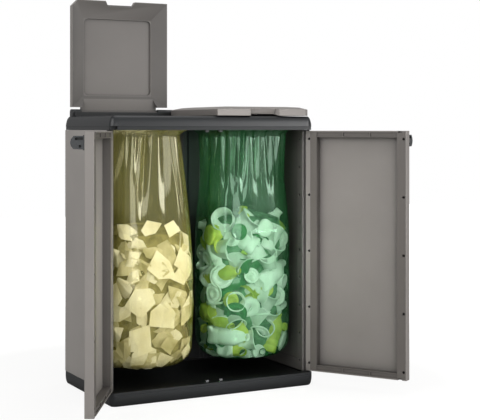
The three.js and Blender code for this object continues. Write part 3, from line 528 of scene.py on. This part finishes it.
@dataclass(frozen=True)
class BagForm:
    """The form that a bag's film and its waste share: a rounded rectangle at every height."""

    side: Side
    waste_top: float
    pleats: tuple[Pleat, ...] = ()
    seed: int = 1
    middle_x: float = 175 * MM
    middle_y: float = -8 * MM
    forward: float = 0.0
    half_x: float = 126 * MM
    half_y: float = 136 * MM
    corner: float = 34 * MM
    top: float = 827 * MM
    cap: float = 797 * MM
    bottom: float = 82 * MM
    bulge_x: float = 20 * MM
    bulge_y: float = 12 * MM
    neck_x: float = 30 * MM
    neck_y: float = 20 * MM
    neck_end: float = 0.65
    lean: float = 7 * MM
    rounding: float = 60 * MM
    round_off: float = 1.6
    foot: float = 60 * MM
    tuck: float = 45 * MM
    widest: float = 0.65  # the share of the way down at which the bag is widest
    drop: float = 0.012  # the share of the way down over which the film leaves the ring
    grip: float = 4 * MM  # the height under the cap over which the folds start
    least: float = 4 * MM  # the least half width and half depth
    ripple: float = 0.9 * MM
    dimple: float = 3 * MM  # how deep the waste's ridges show in the film
    crinkle: float = 0.8 * MM
    most_out: float = 2 * MM  # the most that the film may stand out of its form

    def outline(self, z: float, inset: float) -> tuple[Vector, float, float, float]:
        """The form's plan at a height.

        Args:
            z: The height.
            inset: How far inside the film.

        Returns:
            The middle, the half width, the half depth and the corner radius.
        """
        fall = min(max((self.cap - z) / (self.cap - self.bottom), 0.0), 1.0)
        bulge = math.sin(math.pi * fall / (2 * self.widest))
        rise = max(self.bottom + self.foot - z, 0.0) / self.foot
        tuck = self.tuck * (1 - math.sqrt(max(1 - rise * rise, 0.0)))
        drop = min(fall / self.drop, 1.0)
        neck = drop * max(1 - fall / self.neck_end, 0.0)
        half_x = self.half_x + self.bulge_x * bulge - tuck - self.neck_x * neck - inset
        half_y = self.half_y + self.bulge_y * bulge - tuck - self.neck_y * neck - inset
        half_x, half_y = max(half_x, self.least), max(half_y, self.least)
        corner = self.corner + self.rounding * min(self.round_off * fall, 1.0) - inset
        corner = max(min(corner, min(half_x, half_y) - self.least / 2), self.least / 4)
        middle_x = self.side.value * (self.middle_x - self.lean * bulge)
        return Vector((middle_x, self.middle_y - self.forward * drop, z)), half_x, half_y, corner

    def point(self, around: float, z: float, inset: float) -> Vector:
        """A point on the form.

        Args:
            around: Metres round the bag from the middle of its front, towards +X.
            z: The height.
            inset: How far inside the film.

        Returns:
            The point in the frame's axes.
        """
        middle, half_x, half_y, corner = self.outline(z, inset)
        arc = math.pi / 2 * corner
        front, flank = half_x - corner, 2 * (half_y - corner)
        half_round = 2 * (front + arc) + flank
        left = abs(around) / self.half_round(z) * half_round
        if left <= front:
            x, y = left, -half_y
        elif left <= front + arc:
            turn = (left - front) / corner
            x, y = front + corner * math.sin(turn), -half_y + corner * (1 - math.cos(turn))
        elif left <= front + arc + flank:
            x, y = half_x, -half_y + corner + (left - front - arc)
        elif left <= front + 2 * arc + flank:
            turn = (left - front - arc - flank) / corner
            x, y = front + corner * math.cos(turn), half_y - corner * (1 - math.sin(turn))
        else:
            x, y = half_round - left, half_y
        return middle + Vector((math.copysign(x, around), y, 0))

    def half_round(self, z: float) -> float:
        """Half the way round the film at a height.

        Args:
            z: The height.

        Returns:
            The length.
        """
        _, half_x, half_y, corner = self.outline(z, 0.0)
        return 2 * (half_x + half_y - 2 * corner) + math.pi * corner

    def confine(self, spot: Vector, margin: float) -> Vector:
        """Moves a point that lies too near the film, or outside it, back inside.

        Args:
            spot: The point.
            margin: The least way from the film.

        Returns:
            The point itself or the nearest one in plan that keeps the margin.
        """
        z = max(spot.z, self.bottom + margin)
        middle, half_x, half_y, corner = self.outline(z, margin)
        x, y = spot.x - middle.x, spot.y - middle.y
        past_x, past_y = max(abs(x) - half_x + corner, 0.0), max(abs(y) - half_y + corner, 0.0)
        past = math.hypot(past_x, past_y)
        if past > corner:
            x = math.copysign(min(abs(x), half_x - corner) + past_x * corner / past, x)
            y = math.copysign(min(abs(y), half_y - corner) + past_y * corner / past, y)
        return middle + Vector((x, y, 0))

    def gather(self, around: float, z: float) -> float:
        """How far the pleats and the waste behind it move the film inward at a place.

        Args:
            around: The place round the bag.
            z: The height.

        Returns:
            The way in metres.
        """
        if z >= self.cap:
            return 0.0
        below = min((self.cap - z) / self.grip, 1.0)
        pull = max((p.draw(around, z) for p in self.pleats), default=0.0)
        spot = Vector((around, 0.0, z))
        pull += self.ripple * noise.noise(Vector((around * 16, self.seed, z * 3)))
        packed = smooth_step(self.waste_top + 0.02, self.waste_top - 0.06, z)
        ridge = abs(noise.noise(spot * 17 + Vector((0, self.seed, 0))))
        pull += packed * (self.dimple * ridge + self.crinkle * noise.noise(spot * 40))
        return max(pull, -self.most_out) * below


@dataclass(frozen=True)
class HangingBag:
    """The film of one bag, hung through the cap over its ring."""

    form: BagForm
    finish: Film
    slot: str
    around_steps: int = 480
    rows: int = 84
    film: float = 0.5 * MM
    rim_inset: float = 1.35 * MM
    under_rows: int = 5
    under_dip: float = 1 * MM

    def levels(self) -> list[tuple[float, float]]:
        """Returns the height and inset of each row, from the ring down and in under the bag."""
        form = self.form
        fall, reach, count = form.bottom - form.top, form.half_x - form.tuck, self.under_rows
        wall = [(form.top + fall * row / self.rows, 0.0) for row in range(self.rows + 1)]
        return wall + [
            (form.bottom - self.under_dip * row / count, reach * row / (count + 1))
            for row in range(1, count + 1)
        ]

    def place(self, share: float, z: float, inset: float) -> Vector:
        """Where one vertex of the film lies.

        Args:
            share: The part of the way round, from -1 to 1.
            z: The height.
            inset: The row's own inset under the bag.

        Returns:
            The place in the frame's axes.
        """
        around = share * self.form.half_round(z)
        return self.form.point(around, z, self.rim_inset + inset + self.form.gather(around, z))

    def build(self) -> None:
        """Makes the film, hangs it on the cabinet and takes the CAD bag's place."""
        bm = loft(self.around_steps, self.levels(), self.place, floor=False)
        word = self.form.side.name.lower()
        piece = object_from(bm, f"film_{word}", self.finish.material())
        piece.data.polygons.foreach_set("use_smooth", [True] * len(piece.data.polygons))
        modify(piece, "SOLIDIFY", thickness=self.film, offset=0.0)
        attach(piece, "cabinet")
        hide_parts(f"bag_{word}")
        flat = 2 * self.form.half_round(0.5)


# ---- waste
@dataclass(frozen=True)
class Litter:
    """Thin waste with a little tone of its own from place to place: paper or moulded packaging."""

    name: str
    pale: str
    deep: str
    roughness: float
    patch: float = 60 * MM
    relief: float = 0.25 * MM
    see_through: float = 0.0
    fine: float = 7 * MM

    def material(self) -> Material:
        """Builds the node material and returns it."""
        graph = Graph(bpy.data.materials.new(self.name))
        place = graph.add("TexCoord").outputs["Object"]
        patch = graph.speckle(place, self.patch, Detail=3.0)
        ramp = graph.add("ValToRGB", links={"Fac": patch})
        tones = zip(ramp.color_ramp.elements, (0.35, 0.62), (self.deep, self.pale))
        for element, position, colour in tones:
            element.position, element.color = position, linear(colour)
        colour = ramp.outputs["Color"]
        fine = graph.speckle(place, self.fine, Detail=2.0)
        bump = graph.add("Bump", {"Strength": 0.6, "Distance": self.relief}, {"Height": fine})
        shader = graph.add(
            "BsdfPrincipled", {"Roughness": self.roughness, "IOR": 1.5},
            {"Base Color": colour, "Normal": bump.outputs["Normal"]},
        )
        through = graph.add("BsdfTranslucent", links={"Color": colour})
        return graph.finish(graph.add(
            "MixShader", {0: 0.3 + self.see_through},
            {1: shader.outputs[0], 2: through.outputs[0]},
        ))


def lay(
    bm: BMesh, name: str, finish: Litter, wall: float, slot: str, takes: str = "",
) -> None:
    """Finishes a piece of waste: its wall, its body and the CAD solid it stands for.

    Args:
        bm: The shape, which is freed.
        name: The piece's name.
        finish: Its finish.
        wall: The thickness of the paper or plastic.
        slot: Not used.
        takes: The CAD node that it replaces, if any.
    """
    piece = object_from(bm, name, finish.material())
    modify(piece, "SOLIDIFY", thickness=wall, offset=0.0)
    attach(piece, "cabinet")
    if takes:
        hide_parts(takes)


@dataclass(frozen=True)
class WasteCore:
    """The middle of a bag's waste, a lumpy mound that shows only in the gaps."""

    form: BagForm
    inset: float  # how far the mound lies inside the film
    lump: float  # the height of its lumps
    around_steps: int = 96
    rows: int = 30
    clear: float = 4 * MM  # its way above the bag's bottom
    lump_rate: float = 22  # lumps per metre, roughly
    top_lump: float = 0.6  # the lumps' height on the crown, against the wall's
    crown: float = 26 * MM
    crown_reach: float = 95 * MM
    crown_rows: int = 5

    def place(self, share: float, z: float, inset: float) -> Vector:
        """Where one vertex of the mound lies.

        Args:
            share: The part of the way round, from -1 to 1.
            z: The height.
            inset: The row's own inset on the crown.

        Returns:
            The place in the frame's axes.
        """
        around = share * self.form.half_round(z)
        spot = Vector((around, self.form.seed, z)) * self.lump_rate
        lump = self.lump * noise.noise(spot)
        at = self.form.point(around, z, self.inset + inset + lump)
        at.z += self.top_lump * lump if inset else 0.0
        return at

    def shape(self) -> BMesh:
        """Makes the closed mound and returns it."""
        low, high = self.form.bottom + self.clear, self.form.waste_top
        rows = [(low + (high - low) * row / self.rows, 0.0) for row in range(self.rows + 1)]
        rows += [
            (high + self.crown * math.sin(row * 0.3), self.crown_reach * row / self.crown_rows)
            for row in range(1, self.crown_rows + 1)
        ]
        return loft(self.around_steps, rows, self.place, floor=True)


@dataclass
class PaperWaste:
    """Torn and crumpled sheets of paper, pressed against the film and heaped on top."""

    form: BagForm
    tones: Litter = Litter("office_paper_crumpled", "#fffdf2", "#f1ecd6", 0.85)
    # the paper mound's dark olive is painted shade between the sheets
    shade: Litter = Litter("office_paper_mound_painted_shade", "#a8a06a", "#6a6438", 0.9, patch=40 * MM)
    # the sheets behind are a darker cream as painted shade
    deeper: Litter = Litter("office_paper_behind", "#e6e0c2", "#b9b287", 0.9)
    sizes: tuple[float, float] = (70 * MM, 120 * MM)
    top_sizes: tuple[float, float] = (60, 110)
    top_count: int = 30
    strips: int = 3  # a sheet bends along this many lines each side of its middle
    strip: float = 19  # the way between these lines in mm
    paper: float = 0.5 * MM
    slot: str = "waste_paper"

    def __post_init__(self) -> None:
        """Seeds the random numbers."""
        self.rng = random.Random(self.form.seed)

    def sheet(self, width: float, height: float, folds: int, relief: float) -> BMesh:
        """Makes one flat torn sheet and creases it along straight folds.

        Args:
            width: Its size across.
            height: Its size up.
            folds: The number of folds.
            relief: How far the creases stand out.

        Returns:
            The sheet round the origin in X and Y, with its relief along Z.
        """
        rng = self.rng
        bm = bmesh.new()
        corners = rng.choice((4, 5, 5, 6, 7))
        bmesh.ops.create_circle(bm, cap_ends=True, segments=corners, radius=0.5)
        for vert in bm.verts:
            stretch = rng.uniform(0.5, 1.3)
            vert.co = Vector((vert.co.x * width * stretch, vert.co.y * height * stretch, 0))
        creases = []
        for _ in range(folds):
            turn = rng.uniform(0, math.pi)
            normal = Vector((math.cos(turn), math.sin(turn), 0))
            place = Vector((rng.uniform(-0.3, 0.3) * width, rng.uniform(-0.3, 0.3) * height, 0))
            parts = [*bm.verts, *bm.edges, *bm.faces]
            bmesh.ops.bisect_plane(bm, geom=parts, plane_co=place, plane_no=normal)
            creases.append((place, normal, rng.uniform(-1, 1)))
        reach = max(width, height)
        for vert in bm.verts:
            bend = sum(lift * abs((vert.co - place).dot(normal)) for place, normal, lift in creases)
            vert.co.z = relief * bend / (0.22 * reach * math.sqrt(folds))
        return bm

    def press(self, sheet: BMesh, around: float, z: float, turn: float, inset: float) -> None:
        """Bends a sheet round the bag's form just inside the film.

        Args:
            sheet: The sheet, bent in place.
            around: Where its middle lies round the bag.
            z: The height of its middle.
            turn: Its turn in its own plane.
            inset: How far its mean plane lies inside the film.
        """
        spin = Matrix.Rotation(turn, 3, "Z")
        across = spin.inverted() @ Vector((1, 0, 0))
        for step in range(-self.strips, self.strips + 1):
            parts = [*sheet.verts, *sheet.edges, *sheet.faces]
            line = across * step * self.strip * MM
            bmesh.ops.bisect_plane(sheet, geom=parts, plane_co=line, plane_no=across)
        for vert in sheet.verts:
            flat = spin @ vert.co
            height = max(z + flat.y, self.form.bottom + 3 * MM)
            depth = max(inset - flat.z, 5 * MM)
            vert.co = self.form.point(around + flat.x, height, depth)

    def wall_sheets(self, bm: BMesh, inset: float, rows: int, columns: int) -> None:
        """Lays rows of sheets up the inside of the film.

        Args:
            bm: The bmesh that takes them.
            inset: How far inside the film the sheets lie.
            rows: The number of rows.
            columns: The number of sheets in each row.
        """
        rng, form = self.rng, self.form
        reach = form.waste_top - form.bottom - 85 * MM
        for row in range(rows):
            for column in range(columns):
                z = form.bottom + 34 * MM + reach * (row + rng.uniform(-0.3, 0.3)) / (rows - 1)
                place = (column + 0.5 * (row % 2) + rng.uniform(-0.3, 0.3)) / columns * 2 - 1
                size = rng.uniform(*self.sizes)
                sheet = self.sheet(size, size * rng.uniform(0.5, 0.95), rng.randint(3, 5), 16 * MM)
                around = place * form.half_round(z)
                turn = rng.uniform(-0.9, 0.9)
                self.press(sheet, around, z, turn, inset + rng.uniform(0, 4) * MM)
                join(bm, sheet)

    def top_sheets(self, bm: BMesh) -> None:
        """Heaps crumpled sheets on top of the mound.

        Args:
            bm: The bmesh that takes them.
        """
        rng, form = self.rng, self.form
        middle, half_x, half_y, _ = form.outline(form.waste_top, 34 * MM)
        for _ in range(self.top_count):
            size = rng.uniform(*self.top_sizes) * MM
            sheet = self.sheet(size, size * rng.uniform(0.6, 1.0), rng.randint(4, 7), 18 * MM)
            x, y = rng.uniform(-1, 1), rng.uniform(-1, 1)
            crown = 1 - 0.5 * (x * x + y * y)
            turns = (rng.uniform(-1.1, 1.1), rng.uniform(-1.1, 1.1), rng.uniform(0, 6.3))
            tilt = Euler(turns).to_matrix()
            centre = middle + Vector((x * half_x, y * half_y, (26 * crown - 45) * MM))
            for vert in sheet.verts:
                vert.co = form.confine(centre + tilt @ vert.co, 9 * MM)
            join(bm, sheet)

    def build(self) -> None:
        """Makes the paper and takes the CAD heap's place."""
        core = WasteCore(self.form, 26 * MM, 8 * MM).shape()
        lay(core, "paper_mound_painted_shade", self.shade, 0.4 * MM, self.slot, "paper_heap")
        behind = bmesh.new()
        self.wall_sheets(behind, 17 * MM, 8, 14)
        lay(behind, "paper_behind", self.deeper, self.paper, self.slot)
        bm = bmesh.new()
        self.wall_sheets(bm, 9 * MM, 6, 10)
        self.top_sheets(bm)
        for around, z, width, height, turn in HERO_SHEETS:
            sheet = self.sheet(width * MM, height * MM, 3, 15 * MM)
            self.press(sheet, around * MM, z * MM, turn, 7 * MM)
            join(bm, sheet)
        lay(bm, "paper_sheets", self.tones, self.paper, self.slot)


@dataclass(frozen=True)
class Ware:
    """A turned plastic piece, given as its profile: radius and height pairs in millimetres."""

    profile: tuple[tuple[float, float], ...]
    crush: float = 0.0
    steps: int = 26

    def shape(self, rng: random.Random, scale: float) -> BMesh:
        """Spins the profile round +Z, dents it and puts its middle at the origin.

        Args:
            rng: The bag's random numbers.
            scale: The size against the profile's own.

        Returns:
            The open shell.
        """
        bm = bmesh.new()
        middle = self.profile[-1][1] / 2
        line = [
            bm.verts.new((r * MM * scale, 0, (h - middle) * MM * scale)) for r, h in self.profile
        ]
        edges = [bm.edges.new(pair) for pair in zip(line, line[1:])]
        bmesh.ops.spin(
            bm, geom=line + edges, axis=(0, 0, 1), cent=(0, 0, 0), dvec=(0, 0, 0),
            angle=math.tau, steps=self.steps, use_merge=True,
        )
        bmesh.ops.remove_doubles(bm, verts=bm.verts, dist=0.05 * MM)
        place = rng.uniform(0, 50)
        for vert in bm.verts:
            dent = noise.noise(vert.co * 24 + Vector((place, place, place)))
            vert.co.x *= 1 - self.crush * max(dent, 0)
            vert.co.y *= 1 - self.crush * abs(dent)
        return bm


WARES: dict[str, Ware] = {
    "cup": Ware((
        (0, 2), (21, 2), (23, 0), (25, 1), (27, 14), (28, 15), (29.5, 34), (30.5, 35), (32, 56),
        (33, 57), (35, 80), (38, 81), (38, 83.5), (36, 83.5),
    ), 0.12),
    "pot": Ware((
        (0, 3), (18, 3), (20, 0), (24, 2), (26, 8), (25, 11), (27, 14), (26, 17), (28, 20),
        (27, 23), (29, 26), (30, 50), (34, 51), (35, 53), (33, 54),
    ), 0.06),
    "bottle": Ware((
        (0, 7), (12, 5), (20, 1), (27, 0), (31, 5), (32, 24), (29.5, 27), (32, 30), (32, 48),
        (29.5, 51), (32, 54), (32, 92), (29, 112), (20, 130), (13.5, 140), (12.5, 150), (14, 152),
        (12.5, 156),
    ), 0.35),
    "disc": Ware((
        (0, 1), (9, 1), (10, 2.5), (18, 2.5), (19, 0), (27, 0), (28, 2.5), (32, 2.5), (33, 1),
        (34, 3), (34, 8),
    ), 0.04),
    "cap": Ware(((0, 13), (11, 13), (14, 11), (15, 0)), 0.0, 20),
}


@dataclass(frozen=True)
class Item:
    """One piece of plastic waste at the film, placed in millimetres round the bag and up."""

    ware: str
    tone: int
    around: float
    z: float
    turn: float
    lean: float
    scale: float = 1.0
    deep: float = 0.0


@dataclass
class PlasticWaste:
    """Empty cups, pots, bottles, lids and caps, packed against the film."""

    form: BagForm
    tones: tuple[Litter, ...] = (
        Litter("polystyrene_thermoformed_white", "#ffffff", "#eef4ee", 0.35),
        Litter("pet_bottle_yellow_green", "#f2f27a", "#bfca4c", 0.25, see_through=0.1),
        Litter("polypropylene_moulded_green", "#3c8a4d", "#22603a", 0.35),
    )
    # the plastics mound's dark green is painted shade between the items
    shade: Litter = Litter("plastics_mound_painted_shade", "#6f9a78", "#1f4f2d", 0.6, patch=30 * MM)
    names: tuple[str, ...] = ("cups_white", "bottles_yellow_green", "caps_green")
    tone_shares: tuple[tuple[int, ...], tuple[int, ...]] = ((0, 1, 2), (7, 3, 1))
    margin: float = 6 * MM  # the least way from the film
    top_count: int = 26
    slot: str = "waste_bottles"

    def __post_init__(self) -> None:
        """Seeds the random numbers."""
        self.rng = random.Random(self.form.seed)

    def put(self, bms: list[BMesh], item: Item) -> None:
        """Places one item just inside the film and presses it flat there.

        Args:
            bms: A bmesh for each tone.
            item: The item.
        """
        form, around, z = self.form, item.around * MM, item.z * MM
        ware = WARES[item.ware]
        spot = form.point(around, z, 0.0)
        out = (spot - form.point(around, z, 12 * MM)).normalized()
        side = Vector((-out.y, out.x, 0))
        axis = math.cos(item.turn) * Vector((0, 0, 1)) + math.sin(item.turn) * side
        axis = (math.cos(item.lean) * axis + math.sin(item.lean) * out).normalized()
        radius = max(r for r, _ in ware.profile) * MM * item.scale
        height = ware.profile[-1][1] * MM * item.scale
        depth = radius * abs(math.cos(item.lean)) + height / 2 * abs(math.sin(item.lean))
        centre = spot - out * (depth + 3 * MM + item.deep * MM)
        turn = axis.to_track_quat("Z", "Y").to_matrix()
        shell = ware.shape(self.rng, item.scale)
        for vert in shell.verts:
            vert.co = form.confine(centre + turn @ vert.co, self.margin)
        join(bms[item.tone], shell)

    def scatter(self) -> list[Item]:
        """Makes rows of items round the wall and a deeper layer, and returns them."""
        rng, form = self.rng, self.form
        items = []
        reach = form.waste_top - form.bottom - 40 * MM
        for deep, rows, columns in ((0, 7, 15), (34, 5, 10)):
            for row in range(rows):
                z = (form.bottom + reach * (row + 0.5) / rows) / MM
                for column in range(columns):
                    share = (column + 0.5 * (row % 2) + rng.uniform(-0.3, 0.3)) / columns * 2 - 1
                    ware = rng.choices(("cup", "pot", "bottle", "disc", "cap"), (5, 4, 3, 3, 1))[0]
                    tone = rng.choices(*self.tone_shares)[0]
                    items.append(Item(
                        ware, tone, share * form.half_round(0.3) / MM, z + rng.uniform(-18, 18),
                        rng.uniform(0, math.tau), rng.choice((0.1, 0.3, 0.6, -1.2)),
                        rng.uniform(0.8, 1.1), deep + rng.uniform(0, 6),
                    ))
        return items

    def heap(self, bms: list[BMesh]) -> None:
        """Heaps more pieces on top of the mound.

        Args:
            bms: A bmesh for each tone.
        """
        rng, form = self.rng, self.form
        middle, half_x, half_y, _ = form.outline(form.waste_top, 40 * MM)
        for _ in range(self.top_count):
            ware = rng.choices(("cup", "pot", "bottle", "disc"), (4, 4, 3, 2))[0]
            shell = WARES[ware].shape(rng, rng.uniform(0.8, 1.05))
            x, y = rng.uniform(-1, 1), rng.uniform(-1, 1)
            crown = 1 - 0.5 * (x * x + y * y)
            centre = middle + Vector((x * half_x, y * half_y, (34 * crown - 62) * MM))
            turn = Euler((rng.uniform(0, 6.3), rng.uniform(0, 6.3), 0)).to_matrix()
            for vert in shell.verts:
                vert.co = form.confine(centre + turn @ vert.co, self.margin)
            join(bms[rng.choices(*self.tone_shares)[0]], shell)

    def build(self) -> None:
        """Makes the plastics and takes the CAD heap's place."""
        core = WasteCore(self.form, 34 * MM, 9 * MM).shape()
        lay(core, "plastics_mound_painted_shade", self.shade, 0.4 * MM, self.slot, "bottle_heap")
        bms = [bmesh.new() for _ in self.tones]
        for item in (*HERO_ITEMS, *self.scatter()):
            self.put(bms, item)
        self.heap(bms)
        for bm, name, tone in zip(bms, self.names, self.tones):
            for face in bm.faces:
                face.smooth = True
            lay(bm, name, tone, 0.6 * MM, self.slot)


# ---- the two bags as photographed
YELLOW_FILM = Film("polyethylene_blown_yellow", "#fdfcf4", "#d6d068", shine="#fffbe2")
GREEN_FILM = Film("polyethylene_blown_green", "#f5fff7", "#46a060", shine="#dcfae6", veil=0.11)


def pleats(
    rows: tuple[tuple[float, ...], ...], plain: tuple[float, ...], like: tuple[float, ...],
) -> tuple[Pleat, ...]:
    """Makes a bag's folds.

    Args:
        rows: For each fold its place, width, depth and lower end in millimetres, and its slant.
        plain: The places of the folds that are all alike.
        like: Their width, depth, lower end and slant.

    Returns:
        The folds.
    """
    every = rows + tuple((place, *like) for place in plain)
    return tuple(Pleat(*(length * MM for length in row[:4]), slant=row[4]) for row in every)


YELLOW_BAG = BagForm(
    Side.LEFT, 484 * MM, seed=3,
    pleats=pleats(
        (
            (-113.5, 10, 4, 620, 0.02), (-78.5, 9, 5, 640, -0.115), (-24.5, 20, 17, 505, -0.115),
            (-44, 12, 7, 620, -0.16), (36.5, 22, 9, 520, -0.05), (52, 9, 5, 480, 0.12),
            (92, 12, 6, 560, 0.05), (-150, 16, 8, 560, 0.0), (-200, 18, 8, 540, 0.0),
            (-262, 16, 7, 560, 0.0), (186, 18, 8, 540, 0.0), (250, 16, 7, 560, 0.0),
        ),
        (-330, 320, -420, 405, -490, 480), (18, 7, 560, 0.0),
    ),
)
GREEN_BAG = BagForm(
    Side.RIGHT, 518 * MM, seed=8, neck_x=8 * MM, neck_y=30 * MM, neck_end=0.45,
    bulge_x=20 * MM, bulge_y=-14 * MM, lean=0.0, forward=16 * MM, round_off=5.0,
    pleats=pleats(
        (
            (-276.5, 14, 8, 600, 0.02), (-247, 12, 8, 610, 0.01), (-196.5, 16, 10, 590, 0.0),
            (-154, 12, 9, 600, -0.02), (-115.5, 12, 9, 600, 0.0), (-80, 12, 10, 590, -0.03),
            (-48, 16, 15, 560, -0.05), (-8.5, 13, 9, 600, 0.0), (35, 13, 9, 600, 0.03),
            (60, 10, 8, 610, 0.04), (92, 12, 8, 600, 0.04), (124, 14, 8, 600, 0.04),
            (180, 16, 8, 600, 0.0), (240, 16, 8, 600, 0.0),
        ),
        (310, 380, 450, -340, -410, -480), (18, 8, 600, 0.0),
    ),
)

# the largest sheets near the front: place round the bag, height, width and height in mm, and turn
HERO_SHEETS: tuple[tuple[float, ...], ...] = (
    (9.5, 387, 104, 96, 0.3), (13.5, 245, 128, 74, -0.15), (-96, 415, 96, 70, 0.5),
    (-50, 135, 120, 66, 0.1), (-110, 498, 92, 60, -0.4), (-29, 501, 98, 56, 0.2),
    (46, 505, 90, 60, -0.3), (83, 401, 74, 92, 0.2), (-115, 327, 84, 90, -0.5),
    (-58, 297, 96, 84, 0.6),
)
HERO_ITEMS: tuple[Item, ...] = (
    Item("cup", 0, -141.5, 508, 0.4, 1.2), Item("disc", 2, -72, 483, 0.0, 1.45, 0.75),
    Item("cup", 0, -57, 498, 0.8, 0.2), Item("cup", 0, -152.5, 427, 1.57, 0.1),
    Item("bottle", 1, -150, 347, 1.3, 0.25, 0.9), Item("disc", 0, -167, 290, 0.0, 1.5, 1.0),
    Item("pot", 0, 53.5, 334, 0.2, -1.3, 0.9), Item("bottle", 1, -46, 251, 0.7, 0.5, 0.85),
    Item("bottle", 1, -175.5, 212, 1.9, 0.1, 0.9), Item("cup", 0, 7, 226, 2.4, 0.5),
    Item("pot", 0, -45.5, 142, 1.4, 0.1), Item("bottle", 0, -120.5, 159, 1.6, 0.0, 0.9),
    Item("bottle", 1, 95.5, 159, 0.3, 0.2, 0.8), Item("cup", 0, 45.5, 398, -0.5, 1.1),
    Item("disc", 0, -27, 346, 0.0, 1.3, 0.7), Item("cup", 0, -88, 392, 2.2, 0.3, 0.9),
    Item("pot", 0, -92, 262, 0.9, 1.2, 0.9), Item("cup", 0, 2, 292, 1.9, 0.2, 0.9),
    Item("pot", 0, -100, 208, 2.6, 0.6), Item("cup", 0, 62, 252, 0.1, 0.5, 0.9),
    Item("cup", 0, -8, 430, 2.8, 0.2), Item("pot", 0, 70, 470, 1.9, 1.0),
)


# ---- studio and camera
@dataclass(frozen=True)
class Lamp:
    """One square soft lamp."""

    name: str
    place: tuple[float, float, float]
    aim: tuple[float, float, float]
    size: float
    power: float
    spread: float = 180  # in degrees; a narrow beam makes no reflection of its own

    def build(self) -> None:
        """Makes the lamp."""
        data = bpy.data.lights.new(self.name, "AREA")
        data.shape = "SQUARE"
        data.size = self.size
        data.energy = self.power
        data.spread = math.radians(self.spread)
        light = bpy.data.objects.new(self.name, data)
        bpy.context.scene.collection.objects.link(light)
        light.visible_camera = False
        light.visible_glossy = self.spread > 90
        light.location = self.place
        way = Vector(self.aim) - Vector(self.place)
        light.rotation_euler = way.to_track_quat("-Z", "Y").to_euler()


LAMPS: tuple[Lamp, ...] = (
    Lamp("key", (2.9, -3.2, 1.7), (0.0, -0.1, 0.45), 1.8, 72),
    Lamp("fill", (-3.6, -1.6, 2.0), (0.0, 0.0, 0.45), 2.6, 66),
    Lamp("front", (-0.9, -4.4, 1.1), (0.0, 0.0, 0.4), 2.4, 48),
    Lamp("bags", (0.0, -1.15, 0.5), (0.0, 0.0, 0.45), 0.45, 1.5, 60),
    Lamp("top", (0.2, -0.4, 3.4), (0.0, 0.0, 0.6), 2.4, 28),
)


@dataclass
class Studio:
    """A pale floor in a white room with soft lamps."""

    floor_size: float = 14.0
    floor_drop: float = 0.3 * MM  # keeps the floor clear of the base's underside
    room_light: float = 0.4
    floor_colour: str = "#a2a2a0"

    def build(self) -> None:
        """Makes the floor, the world and the lamps."""
        self.floor()
        self.world()
        for lamp in LAMPS:
            lamp.build()

    def floor(self) -> None:
        """Makes the floor: white to the camera, with the object's soft shadow kept on it."""
        bm = bmesh.new()
        bmesh.ops.create_grid(bm, x_segments=8, y_segments=8, size=self.floor_size / 2)
        bmesh.ops.translate(bm, verts=bm.verts, vec=(0, 0, -self.floor_drop))
        graph = Graph(bpy.data.materials.new("painted_floor_white"))
        matt = graph.add("BsdfDiffuse", {"Color": linear(self.floor_colour)})
        glow = graph.add("Emission", {"Color": (1, 1, 1, 1), "Strength": 1.7})
        seen = graph.add("LightPath").outputs["Is Camera Ray"]
        place = graph.add("TexCoord").outputs["Object"]
        away = graph.add("VectorMath", links={0: place}, operation="LENGTH").outputs["Value"]
        clean = graph.add(
            "MapRange", {"From Min": 0.8, "From Max": 2.4, "To Min": 0.5, "To Max": 1.0},
            {"Value": away},
        ).outputs["Result"]
        material = graph.finish(graph.add("MixShader", links={
            0: graph.product(seen, clean), 1: matt.outputs[0], 2: glow.outputs[0],
        }))
        object_from(bm, "floor", material)

    def world(self) -> None:
        """Makes the white room: plain white to the eye, softer as light and in reflections."""
        world = bpy.data.worlds.new("white_room")
        bpy.context.scene.world = world
        graph = Graph(world, "OutputWorld")
        seen = graph.add("LightPath").outputs["Is Camera Ray"]
        strength = graph.add(
            "MapRange", {"To Min": self.room_light, "To Max": 1.0}, {"Value": seen},
        ).outputs["Result"]
        graph.finish(graph.add("Background", {"Color": (1, 1, 1, 1)}, {"Strength": strength}))


@dataclass
class PhotoCamera:
    """The photograph's view: level, turned to the right, with the frame shifted down."""

    place: Vector = Vector((-1.632, -3.442, 0.803))
    turn: float = 27.77
    focal_px: float = 1213
    horizon_px: float = 128
    sensor_mm: float = 36.0

    def build(self) -> None:
        """Makes the camera and gives it to the scene."""
        data = bpy.data.cameras.new("photo_view")
        data.sensor_width = self.sensor_mm
        data.lens = data.sensor_width * self.focal_px / PHOTO_WIDTH
        data.shift_y = -(PHOTO_HEIGHT / 2 - self.horizon_px) / PHOTO_WIDTH
        camera = bpy.data.objects.new("photo_view", data)
        bpy.context.scene.collection.objects.link(camera)
        camera.location = self.place
        camera.rotation_euler = Euler((math.pi / 2, 0, -math.radians(self.turn)))
        bpy.context.scene.camera = camera


def main() -> None:
    """Builds the bin piece by piece, then the studio round it."""
    logging.basicConfig(level=logging.INFO, format="%(name)s: %(message)s")
    bpy.context.scene.view_settings.view_transform = "Standard"
    PhotoCamera().build()
    Cabinet().dress()
    HangingBag(YELLOW_BAG, YELLOW_FILM, "yellow_film").build()
    HangingBag(GREEN_BAG, GREEN_FILM, "green_film").build()
    PaperWaste(YELLOW_BAG).build()
    PlasticWaste(GREEN_BAG).build()
    Studio().build()


if __name__ == "__main__":
    main()
